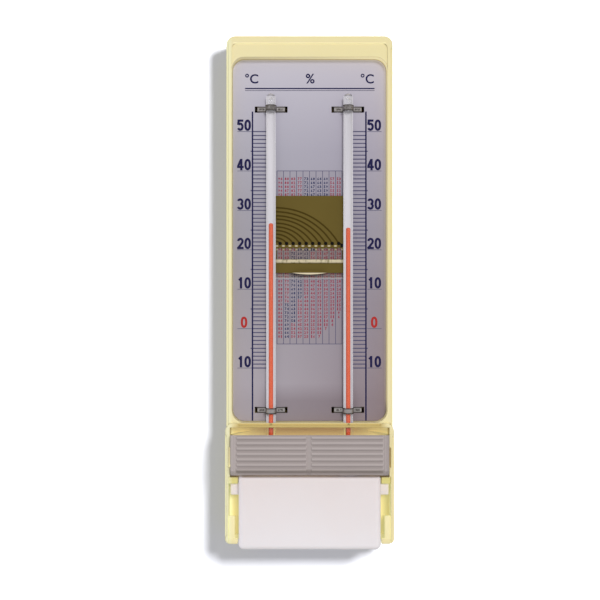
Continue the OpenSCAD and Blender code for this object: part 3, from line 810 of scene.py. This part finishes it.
def backdrop():
    # the wall shows only to the camera and from its front, and it keeps the object's shadow
    f = Finish("wall")
    white = (1, 1, 1, 1)
    matt = f.node("BsdfDiffuse", {}, {"Color": wallLook["matt"]})
    shine = f.node("Emission", {}, {"Color": white, "Strength": wallLook["shine"]})
    near = f.node("AddShader", {}, {0: matt, 1: shine})
    far = f.node("Emission", {}, {"Color": white, "Strength": 1.0})
    away = f.node("VectorMath", {"operation": "LENGTH"}, {0: f.place()}, out="Value")
    both = f.node("MixShader", {}, {0: f.within(away, *wallLook["fade"]), 1: near, 2: far})
    clear = f.node("BsdfTransparent")
    front = f.node("LightPath") * (1 - f.node("NewGeometry", out="Backfacing"))
    f.show(f.node("MixShader", {}, {0: front, 1: clear, 2: both}))
    mesh = bpy.data.meshes.new("wall")
    half, y = wallLook["half"], wallLook["behind"]
    corners = [(-half, y, -half), (half, y, -half), (half, y, half), (-half, y, half)]
    mesh.from_pydata(corners, [], [[0, 1, 2, 3]])
    mesh.materials.append(f.material)
    wall = bpy.data.objects.new("wall", mesh)
    link(wall)
    return wall


def lightUp(wall):
    # the sun lights the object nearly from the front, the lamp only the wall, more from aside
    for name, lamp, state in (("sun", objectSun(), "EXCLUDE"), ("lamp", wallLamp(), "INCLUDE")):
        group = bpy.data.collections.new(name + "_targets")
        group.objects.link(wall)
        group.collection_objects[0].light_linking.link_state = state
        lamp.light_linking.receiver_collection = group


lightUp(backdrop())

print("case and plate")

dress("back_case", caseFinish)
dress("scale_plate", plateFinish)
dress("plate_tape", tapeFinish)
dress("tube_rests", padFinish)

fitting = {
    "coveX": (34.0, 45.6), "coveDrops": (219.1, 226.2), "coveDepths": (2.6, 22.2), "coveBack": 2.0,
    "lipX": (40.4, 45.9), "lipDrops": (283.6, 286.9), "lipDepths": (20.5, 23.1), "edge": 0.9,
    "padX": (42.2, 45.9), "padDrops": (271.0, 285.6), "padDepths": (20.5, 22.8),
}


def caseFittings():
    # In each upper corner of the bay a cove: depth = low + (high - low)(1 - root(1 - u^2)) as u
    # goes from 0 to 1 towards the side wall. At each leg's foot a lip with an upright pad
    low, high = fitting["coveDepths"]
    near, far = fitting["coveX"]
    share = np.sin(np.linspace(0, math.pi / 2, 24))
    x = np.concatenate([near + (far - near) * share, [far, near]])
    depth = np.concatenate([low + (high - low) * (1 - np.sqrt(1 - share ** 2)), [fitting["coveBack"]] * 2])
    for side, name in ((-1, "left"), (1, "right")):
        cove = closedShell(grid(side * x, depth, zAt(np.array(fitting["coveDrops"]))[:, None]))
        newPiece(name + "_bay_cove", [cove], caseFinish, "root", smooth=30)
        blocks = [softBlock(sorted(side * edge for edge in fitting[part + "X"]), fitting[part + "Drops"],
                            fitting[part + "Depths"], fitting["edge"]) for part in ("lip", "pad")]
        newPiece(name + "_leg_lip", blocks, caseFinish, "root", smooth=60)


caseFittings()

scale = {
    "zeroDrop": 165.79, "perDegree": 2.251, "high": 50, "low": -10,
    "axes": (-32.56, 32.23), "axisWide": 0.86, "axisDrops": (41.8, 218.4),
    "tickWide": 0.66, "tickInner": (-24.3, 24.3), "outStep": 1.1,
    "figureMiddle": (-37.4, 36.95), "figureUp": 3.65,
    "rule": (33.0, 41.2), "ruleWide": 0.3,
}
figure = {"high": 6.5, "wide": 3.75, "stem": 1.3, "step": 4.15, "layer": 0.006}


def dropOf(degrees):
    return scale["zeroDrop"] - scale["perDegree"] * np.asarray(degrees, float)


def about(middles, wide):
    # limits of bars of one width round their middles
    middles = np.asarray(middles, float)
    return np.stack([middles - wide / 2, middles + wide / 2], -1)


def figurePaths():
    # centre lines of the bold narrow figures 0 to 5, each a list of strokes about its own middle
    s = figure["stem"] / 2
    a, b = figure["wide"] / 2 - s, figure["high"] / 2 - s
    angle = around(40)
    ring = np.stack([a * np.cos(angle), b * np.sign(np.sin(angle)) * np.abs(np.sin(angle)) ** 0.8], -1)
    return {
        "0": [ring],
        "1": [[(0.35, b + s), (0.35, -b - s)], [(0.35, b - 0.1), (-0.85, b - 1.15)]],
        "2": [np.vstack([bow(0, b - 1.45, a, 1.45, 172, -38), [(-a, -b)]]), [(-a - s, -b), (a + s, -b)]],
        "3": [bow(-0.1, b - 1.3, a, 1.3, 160, -84), bow(-0.1, 1.42 - b, a + 0.1, 1.42, 84, -160)],
        "4": [[(0.4, b + 0.35), (-a - 0.1, -1.0)], [(-a - s, -1.35), (a + s, -1.35)],
              [(0.55, b + s), (0.55, -b - s)]],
        "5": [[(-a + 0.15, b), (a + s * 0.7, b)], [(-a + 0.25, b + s), (-a, 0.2)],
              bow(-0.1, 1.72 - b, a + 0.1, 1.72, 142, -152)],
    }


def boldNumber(text, x, drop):
    # each figure's strokes lie one thin layer over the other, so that no two faces coincide
    paths, parts = figurePaths(), []
    for place, sign in enumerate(text):
        middle = x + (place - (len(text) - 1) / 2) * figure["step"]
        for layer, path in enumerate(paths[sign]):
            parts.append(stroke(np.array(path, float), figure["stem"], (middle, drop), face["depth"],
                                face["film"] + layer * figure["layer"], loop=sign == "0"))
    return parts


def printScales():
    # two axes with a tick at each degree, longer at the fives, and a rule beside each ten
    degrees = np.arange(scale["low"], scale["high"] + 1)
    level = dropOf(degrees)
    tens = level[degrees % 10 == 0]
    marks = []
    for axis, inner in zip(scale["axes"], scale["tickInner"]):
        away = math.copysign(1, axis)
        ends = np.repeat([sorted((axis, inner))], len(level), 0)
        ends[:, 0 if away < 0 else 1] += np.where(degrees % 10 == 5, scale["outStep"], 0) * away
        span = sorted(away * edge for edge in scale["rule"])
        marks += [bars(ends, about(level, scale["tickWide"]), inkDepths),
                  bars([span], about(tens, scale["ruleWide"]), inkDepths)]
    printed("scale_axes", [bars(about(scale["axes"], scale["axisWide"]), scale["axisDrops"], overDepths)], "navy")
    printed("scale_ticks", marks, "tick")
    figures, zeros = [], []
    for middle in scale["figureMiddle"]:
        for value in range(scale["low"], scale["high"] + 1, 10):
            target = figures if value else zeros
            target += boldNumber(str(abs(value)), middle, dropOf(value) - scale["figureUp"])
    printed("scale_figures", figures, "navy")
    printed("zero_figures", zeros, "red")


printScales()

table = {
    "x": (-18.56, 18.58), "drops": (75.71, 174.56), "columns": 10, "rule": 0.34,
    "wet": range(-2, 39), "figureHigh": 1.72, "figureWide": 1.1, "oneShare": 0.6, "step": 1.34, "weight": 0.42,
    "blue": (57, 75.5), "least": 4, "perDegree": 0.67,
}


def vapourPressure(celsius):
    # Magnus formula, in hectopascals
    return 6.112 * np.exp(17.62 * celsius / (243.12 + celsius))


def sized(text, weight, steps, high, wide=None):
    # a glyph of a given height, and width or its own
    points, faces = glyph(text, face["film"], weight, steps)
    size = points[:, :2].max(0) - points[:, :2].min(0)
    points[:, :2] *= ((wide / size[0] if wide else high / size[1]), high / size[1])
    return points, faces


def printTable():
    # relative humidity from wet bulb t and difference n: (e(t) - 0.67 n) / e(t + n)
    edges = np.linspace(*table["x"], table["columns"] + 1)
    rules = bars(about(edges, table["rule"]), table["drops"], inkDepths)
    ends = bars([table["x"]], about(table["drops"], table["rule"]), overDepths)
    printed("table_rules", [rules, ends], "tick")
    digits = [sized(str(value), table["weight"], 1, table["figureHigh"],
                    table["figureWide"] * (table["oneShare"] if value == 1 else 1)) for value in range(10)]
    blue, red = [], []
    for wet in table["wet"]:
        for column, middle in enumerate((edges[1:] + edges[:-1]) / 2):
            gap = column + 1
            share = 100 * (vapourPressure(wet) - table["perDegree"] * gap) / vapourPressure(wet + gap)
            if share < table["least"]:
                continue
            target = blue if table["blue"][0] <= share <= table["blue"][1] else red
            text = str(int(round(share)))
            for place, sign in enumerate(text):
                x = middle + (place - (len(text) - 1) / 2) * table["step"]
                target.append(stood(digits[int(sign)], x, dropOf(wet)))
    printed("table_blue_figures", blue, "table_blue")
    printed("table_red_figures", red, "table_red")


printTable()

heading = {
    "drop": 23.0, "high": 5.6, "weight": 0.16, "signs": (("°C", -33.0), ("%", 0.4), ("°C", 33.0)),
    "rules": ((28.3, 29.0), (29.7, 29.95)), "x": (-36.8, 37.2),
}


def printHeading():
    # plain unit signs over the two scales and the table, on a double rule
    signs = [stood(sized(text, heading["weight"], 6, heading["high"]), x, heading["drop"])
             for text, x in heading["signs"]]
    printed("unit_signs", signs + [bars([heading["x"]], np.array(heading["rules"]), inkDepths)], "navy")


printHeading()

print("thermometers")


def dome(radius, middle, start, stop, steps):
    # arc of a ball's profile between two angles from the axis: (radius, drop) pairs
    angle = np.linspace(start, stop, steps)
    return radius * np.sin(angle), middle - radius * np.cos(angle)


def easeIn(first, last, radiusA, radiusB, steps):
    # cosine blend between two radii down a tube
    share = np.linspace(0, 1, steps)
    return radiusA + (radiusB - radiusA) * (1 - np.cos(math.pi * share)) / 2, first + (last - first) * share


def bulbProfile(top, stemR, bulbR, bottom):
    # rounded tip, straight stem, eased shoulder, straight bulb and round end
    shoulder = tube["bulbBottom"] - tube["bulbLong"]
    parts = [
        dome(stemR, top + stemR, 0.03, math.pi / 2, 12),
        easeIn(shoulder, shoulder + tube["neck"], stemR, bulbR, 9),
        dome(bulbR, bottom - bulbR, math.pi / 2, math.pi - 0.03, 12),
    ]
    return np.concatenate([part[0] for part in parts]), np.concatenate([part[1] for part in parts])


def tubeX(side):
    return tube["x"] * (-1 if side == "dry" else 1)


def thermometer(side):
    x = tubeX(side)
    profile = bulbProfile(tube["top"], tube["r"], tube["bulbR"], tube["bulbBottom"])
    outer = closedShell(turned(*profile, x, tube["depth"], 64))
    # above the spirit the bore is finer than can be seen, up to its chamber at the top
    middle, start, stop = (tube["top"] + drop for drop in tube["chamberDrops"])
    tip = dome(tube["chamber"], middle, 0.05, 2.8, 12)
    radii = np.append(tip[0], [tube["thread"], tube["thread"] / 2])
    hollow = closedShell(turned(radii, np.append(tip[1], [start, stop]), x, tube["depth"], 40), inward=True)
    skin = newPiece(side + "_glass", [outer, hollow], glassFinish, "root", smooth=60)
    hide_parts(side + "_tube")
    profile = bulbProfile(tube["readings"][side], tube["bore"], tube["bulbR"] - tube["wall"],
                          tube["bulbBottom"] - tube["wall"])
    column = newPiece(side + "_column", [closedShell(turned(*profile, x, tube["depth"], 40))],
                      spiritFinish, "root", smooth=60)
    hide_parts(side + "_spirit")
    # round glass bends the light behind the column, so the column keeps none of it off the opal
    column.visible_shadow = False
    column.visible_diffuse = False
    # opal strip: a moon between two arcs behind the bore, carried down the stem
    spread = math.acos(tube["opalFront"] / tube["opalOut"])
    moon = np.concatenate([
        radius * np.stack([np.sin(angle), np.cos(angle)], -1) for radius, angle in (
            (tube["opalOut"], np.linspace(-spread, spread, 17)),
            (tube["opalIn"], np.linspace(spread - 0.12, -spread + 0.12, 17)))])
    shell = closedShell(grid(x + moon[:, 0], tube["depth"] - moon[:, 1], zAt(np.array(tube["opal"]))[:, None]))
    strip = newPiece(side + "_opal_strip", [shell], opalFinish, "root")
    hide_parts(side + "_opal")


thermometer("dry")
thermometer("wet")


def roundedPath(corners, radii, steps=6):
    # polyline whose corners are replaced by quadratic curves that start a radius before each corner
    path = [corners[0]]
    share = np.linspace(0, 1, steps)[:, None]
    for before, corner, after, radius in zip(corners[:-2], corners[1:-1], corners[2:], radii):
        start = corner + (before - corner) / np.linalg.norm(before - corner) * radius
        stop = corner + (after - corner) / np.linalg.norm(after - corner) * radius
        path.extend((1 - share) ** 2 * start + 2 * share * (1 - share) * corner + share ** 2 * stop)
    path.append(corners[-1])
    return np.array(path)


def bentStrip(path, levels, thick, edge=0.12):
    # rounded rectangle section carried along a path in the (x, depth) plane
    along = np.gradient(path, axis=0)
    along /= np.linalg.norm(along, axis=1, keepdims=True)
    normal = np.stack([-along[:, 1], along[:, 0]], -1)
    outline, _ = slabRing(((levels[0] - levels[1]) / 2, thick / 2), edge, 4)
    return closedShell(grid(
        path[:, None, 0] + normal[:, None, 0] * outline[None, :, 1],
        path[:, None, 1] + normal[:, None, 1] * outline[None, :, 1],
        (levels[0] + levels[1]) / 2 + outline[None, :, 0]))


def tubeClip(side, level):
    x = tubeX(side)
    inner = tube["r"] + 0.02 + clip["thick"] / 2
    wing = face["depth"] + 0.02 + clip["thick"] / 2
    angle = np.linspace(0, math.pi, 25)[1:-1]
    arch = np.stack([inner * np.cos(angle), tube["depth"] + inner * np.sin(angle)], -1)
    outer = clip["reach"] - clip["thick"] / 2
    low = clip["seat"] - 0.1 - clip["thick"] / 2
    corners = [[clip["reach"] - clip["tab"], low], [outer, low], [outer, wing], [inner, wing], [inner, tube["depth"]]]
    right = roundedPath(np.array(corners), [clip["bend"]] * 3)
    path = np.vstack([right, arch, right[::-1] * [-1, 1]])
    path[:, 0] += x
    middle, half = zAt(clip["drops"][level]), clip["high"] / 2
    strip = bentStrip(path, (middle + half, middle - half), clip["thick"])
    piece = newPiece(side + "_" + level + "_strip", [strip], steelFinish, "root", smooth=50)
    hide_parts(side + "_" + level + "_clip")


for side in ("dry", "wet"):
    for level in ("upper", "lower"):
        tubeClip(side, level)

print("cursor")

carrier = newPiece("cursor_slide_sheet", [softBlock(
    (-cursor["half"], cursor["half"]), (cursor["top"], cursor["low"]),
    (cursor["back"], cursor["back"] + cursor["thick"]), 0.3, 4)], sheetFinish, "cursor", smooth=12)
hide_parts("cursor_carrier")
dress("cursor_sheet", brassFinish)


def arcRibbon(start, dot):
    # circle that leaves the sheet's left line level and comes down on the dot. With rise h and
    # run w its radius is (w*w + h*h) / 2h
    run, rise = dot - cursor["left"], cursor["dotDrop"] - start
    radius = (run * run + rise * rise) / (2 * rise)
    turn = math.asin(min(1, run / radius))
    stop = turn if run <= radius and rise <= radius else math.pi - turn
    path = bow(0, 0, radius, radius, 90, 90 - math.degrees(stop), 28)
    return stroke(path, cursor["line"], (cursor["left"], start + radius), cursor["sheetFront"], cursor["film"])


def printCursor():
    lines = [arcRibbon(start, dot) for start, dot in zip(cursor["starts"], cursor["dots"][::-1])]
    newPiece("cursor_curves", lines, inks["curve"], "cursor")
    outlines = [bow(x, cursor["dotDrop"], cursor["dotR"], cursor["dotR"], 0, 342) for x in cursor["dots"]]
    marks = [flatShape(outline, cursor["sheetFront"], 2 * cursor["film"]) for outline in outlines + [cursor["arrow"]]]
    newPiece("cursor_dots", marks, inks["black"], "cursor")
    # the sawn lower edge of the clear sheet: a milky strip, frosted as the sawn edge is, with a painted highlight
    # where it catches the light
    cut = bars([[-cursor["half"] + 0.4, cursor["half"] - 0.4]], [cursor["cut"]],
               (cursor["back"] + 0.08, cursor["back"] + cursor["thick"] + 0.02))
    newPiece("cursor_cut_edge", [cut], capFinish, "cursor")


printCursor()

print("bulb cover")


def coverFront(drop):
    # depth of the smooth front: a rolled lip at the top, then upright, then turned in at the foot
    top = np.clip(1 - (drop - cover["drops"][0]) / cover["lip"], 0, 1)
    foot = np.clip((drop - cover["bevelTop"]) / (cover["drops"][1] - cover["bevelTop"]), 0, 1)
    return cover["front"] - cover["lip"] * (1 - np.sqrt(1 - top ** 2)) - cover["bevelIn"] * foot ** 1.15


def ribRelief(x, drop):
    # corrugation: a cosine wave whose crests are the ribs, rounded off at both ends of each half.
    # A fine upright bead runs down each side of the cover
    line = cover["ribFirst"]
    last = line + cover["ribPitch"] * (cover["ribs"] - 1)
    phase = 2 * math.pi * (drop - line) / cover["ribPitch"]
    wave = (0.5 + 0.5 * np.cos(phase)) ** 0.85
    wave = wave * ((drop > line - cover["ribPitch"] / 2) & (drop < last + cover["ribPitch"] / 2))
    away = np.full(np.broadcast(x, drop).shape, 1.0)
    for left, right in cover["ribX"]:
        out = np.maximum(left + cover["ribEnd"] - x, x - right + cover["ribEnd"]) / cover["ribEnd"]
        away = np.minimum(away, np.clip(out, 0, 1) + 0 * drop)
    relief = cover["ribTall"] * wave * np.sqrt(np.clip(1 - away ** 2, 0, 1))
    for middle in cover["edgeLine"]:
        bead = np.clip(1 - ((x - middle) / cover["edgeWide"]) ** 2, 0, 1)
        relief = np.maximum(relief, cover["edgeTall"] * np.sqrt(bead) + 0 * drop)
    return relief


def coverShell():
    # closed section at each plan station: down the outer wall and up the inner one
    r = cover["corner"]
    drops = np.concatenate([
        cover["drops"][0] + cover["lip"] * (1 - np.cos(np.linspace(0, math.pi / 2, 6))),
        np.linspace(cover["drops"][0] + cover["lip"], cover["bevelTop"] + r, 150)[1:],
        np.linspace(cover["bevelTop"] + r, cover["drops"][1], 9)[1:],
    ])
    # stations across it lie close together near the ends of the ribs and the upright beads
    ends = [*cover["ribX"][0], *cover["ribX"][1], *cover["edgeLine"]]
    fine = np.concatenate([np.linspace(end - cover["fine"], end + cover["fine"], 17) for end in ends])
    coarse = np.linspace(-cover["half"] + r, cover["half"] - r, 40)
    across = np.unique(np.round(np.concatenate([fine, coarse]), 3))
    across = across[np.abs(across) <= cover["half"] - r]
    turn = np.linspace(0, math.pi / 2, 6)[1:-1]
    front = coverFront(drops)[:, None]

    def wallRing(gap):
        # plan outline at each level: left cheek, corner, front, corner, right cheek
        half, outer = cover["half"] - gap, front - gap
        cheek = cover["cheekBack"] + (outer - r - cover["cheekBack"]) * np.linspace(0, 1, 5)
        side = np.hstack([cheek, outer - r + r * np.sin(turn)])
        sideX = np.concatenate([np.full(5, half), half - r + r * np.cos(turn)])
        level = outer + (ribRelief(across, drops[:, None]) if gap == 0 else 0 * across)
        x = np.concatenate([-sideX, np.clip(across, r - half, half - r), sideX[::-1]])
        y = np.hstack([side, level, side[:, ::-1]])
        # the cheeks' top edge falls away behind the front: level drops by notch within notch
        high = cover["drops"][1] - cover["drops"][0]
        lowered = cover["notch"] * np.clip((cover["front"] - r - y.max(0)) / cover["notch"], 0, 1)
        stretched = cover["drops"][1] - (cover["drops"][1] - drops)[:, None] * (1 - lowered / high)[None]
        return grid(x, y, zAt(stretched))

    outer, inner = wallRing(0), wallRing(cover["thick"])
    return closedShell(np.concatenate([outer, inner[::-1]], 0).transpose(1, 0, 2))


def buildCover():
    levels, depths, out = cover["tongue"]
    inside = cover["half"] - 0.4
    tongues = [softBlock(span, levels, depths, 0.3, 4) for span in ((inside, out), (-out, -inside))]
    piece = newPiece("ribbed_cover", [coverShell(), *tongues], greyFinish, "cover", smooth=45)
    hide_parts("bulb_cover")


buildCover()

print("bottle, cap and wick")

bottle = {
    "half": 39.8, "drops": (248.5, 289.1), "depths": (4.0, 28.0), "edge": 3.0, "topEdge": 1.1,
    "sink": 0.3, "lugDrops": (253.1, 259.8), "lugDepths": (13.0, 19.8), "lugOut": 44.9,
    "neckR": 7.4, "neckTop": 242.0, "neckDepth": 16.2, "rootDrop": 249.7, "flare": 1.6, "cell": 3.2,
}


def bottleShell():
    # rounded box, its flats finely divided, each broad flat sunk a little towards its middle
    r = bottle["edge"]
    half = np.array([bottle["half"], (bottle["depths"][1] - bottle["depths"][0]) / 2])
    middle = -(bottle["depths"][0] + bottle["depths"][1]) / 2
    outline, facing = slabRing(half, r, 9)
    closed = np.vstack([outline, outline[:1]])
    turns = np.vstack([facing, facing[:1]])
    spots, looks = [], []
    for k in range(len(outline)):
        long = np.linalg.norm(closed[k + 1] - closed[k])
        share = np.linspace(0, 1, max(1, int(long / bottle["cell"])), endpoint=False)[:, None]
        spots.append(closed[k] + (closed[k + 1] - closed[k]) * share)
        looks.append(turns[k] + (turns[k + 1] - turns[k]) * share)
    outline, facing = np.vstack(spots), np.vstack(looks)
    up = np.concatenate([
        np.linspace(-math.pi / 2 + 0.03, 0, 9), np.zeros(12), np.linspace(0, math.pi / 2 - 0.03, 9)])
    share = np.concatenate([np.zeros(8), np.linspace(0, 1, 14), np.ones(8)])
    ball = np.where(up > 0, bottle["topEdge"], r)
    low, high = zAt(bottle["drops"][1]) + r, zAt(bottle["drops"][0]) - bottle["topEdge"]
    level = low + (high - low) * share + ball * np.sin(up)
    inset = ball * (1 - np.cos(up))
    x = outline[None, :, 0] - inset[:, None] * facing[None, :, 0]
    y = middle + outline[None, :, 1] - inset[:, None] * facing[None, :, 1]
    wide = np.clip(1 - (x / (bottle["half"] - bottle["edge"])) ** 2, 0, 1)
    tall = np.clip(1 - ((level[:, None] - (low + high) / 2) / ((high - low) / 2 + 2.5)) ** 2, 0, 1)
    broad = np.abs(facing[None, :, 1]) > 0.9
    y -= np.where(broad, np.sign(facing[None, :, 1]) * bottle["sink"] * wide * tall, 0)
    return closedShell(grid(x, -y, level[:, None]))


def buildBottle():
    steps = np.linspace(0, 1, 8)
    r, root, top, flare = (bottle[size] for size in ("neckR", "rootDrop", "neckTop", "flare"))
    radii = np.concatenate([r + flare * (1 - np.sin(steps * math.pi / 2)), [r, r, r - 0.4]])
    drops = np.concatenate([root - flare * steps, [root - 3, top + 0.3, top]])
    neck = closedShell(turned(radii, drops, tube["x"], bottle["neckDepth"], 56))
    inside = bottle["half"] - 1.0
    lugs = [softBlock(span, bottle["lugDrops"], bottle["lugDepths"], 0.8)
            for span in ((inside, bottle["lugOut"]), (-bottle["lugOut"], -inside))]
    piece = newPiece("blown_bottle", [bottleShell(), neck, *lugs], bottleFinish, "bottle", smooth=50)
    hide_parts("water_bottle")


buildBottle()

cap = {"r": 8.3, "top": 240.6, "low": 246.5, "hole": 2.0, "grips": 36, "gripDeep": 0.22}


def buildCap():
    # turned cap whose skirt is fluted by a rounded wave round its axis; the rim of its hole is
    # carried forward, in line with the bulb
    angle = around(cap["grips"] * 6)
    flute = cap["gripDeep"] * (0.5 + 0.5 * np.cos(cap["grips"] * angle))
    hole, r, top, low = (cap[size] for size in ("hole", "r", "top", "low"))
    radii, drops = np.array([
        [hole, top + 1.4], [hole, top + 0.25], [hole + 0.25, top], [r - 0.9, top], [r - 0.35, top + 0.15],
        [r - 0.05, top + 0.6], [r, top + 1.1], [r, low - 0.4], [r - 0.1, low - 0.1], [r - 0.35, low],
        [r - 0.8, low], [r - 0.88, top + 1.4]]).T
    fluted = np.array([0, 0, 0, 0, 0, 0.3, 1, 1, 0.6, 0.2, 0, 0])
    rings = turned(radii[:, None] - fluted[:, None] * flute, drops, tube["x"], bottle["neckDepth"], len(angle))
    rings[:3, :, 1] -= tube["depth"] - bottle["neckDepth"]
    shell = closedShell(rings, wrapRows=True)
    piece = newPiece("fluted_cap", [shell], capFinish, "bottle", smooth=35)
    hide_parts("bottle_cap")


buildCap()

wick = {
    "sleeve": 3.97, "neck": 3.29, "tail": 1.5, "top": 227.2, "capTop": 240.3, "low": 285.0, "tip": 0.45,
    "shoulder": (228.6, 2.4), "foot": (237.2, 3.2), "strands": 8, "pitch": 1.9, "weave": 0.16,
}


def buildWick():
    # braid: two sets of strands wind opposite ways, and the skin stands out where they cross. It
    # widens at its shoulder over the bulb and narrows at its foot to the tail
    drops = np.concatenate([
        np.linspace(wick["top"], wick["capTop"], 90), np.linspace(wick["capTop"] + 0.1, wick["low"] - 0.6, 210),
        [wick["low"] - 0.2, wick["low"]]])
    shoulder, foot = (np.clip((drops - start) / long, 0, 1) for start, long in (wick["shoulder"], wick["foot"]))
    radius = wick["neck"] + (wick["sleeve"] - wick["neck"]) * shoulder
    radius = radius + (wick["tail"] - radius) * (1 - np.sqrt(np.clip(1 - foot ** 2, 0, 1)))
    radius[-1] *= wick["tip"]
    turn = wick["strands"] * around(72)[None]
    slope = 2 * math.pi * drops[:, None] / wick["pitch"]
    relief = np.abs(np.sin((turn + slope) / 2)) * np.abs(np.sin((turn - slope) / 2))
    radius = radius[:, None] - wick["weave"] * (1 - relief)
    rings = turned(radius, drops, tube["x"], tube["depth"], turn.size)
    piece = newPiece("braided_wick", [closedShell(rings)], cottonFinish, "root", smooth=70)
    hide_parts("wick")


buildWick()

tie = {
    "r": 3.42, "thread": 0.17, "turns": 4.0, "drops": (227.55, 228.75),
    "knotR": 0.42, "knotDrop": 228.1, "knotOut": 0.1,
}


def buildTie():
    # thread wound as a helix, with a small knot at its side
    path = np.linspace(0, 2 * math.pi * tie["turns"], 240)
    out = np.stack([np.cos(path), np.sin(path), 0 * path], -1)
    level = zAt(np.linspace(*tie["drops"], 240))
    centre = grid(tube["x"], tube["depth"], level) + tie["r"] * out
    ring = around(8)[None, :, None]
    rings = centre[:, None] + tie["thread"] * (np.cos(ring) * out[:, None] + np.sin(ring) * np.array([0, 0, 1.0]))
    ball = dome(tie["knotR"], tie["knotDrop"], 0.1, math.pi - 0.1, 8)
    knot = closedShell(turned(*ball, tube["x"] + tie["r"] + tie["knotOut"], tube["depth"], 12))
    piece = newPiece("tie_thread", [closedShell(rings), knot], cottonFinish, "root", smooth=70)
    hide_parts("wick_tie")


buildTie()
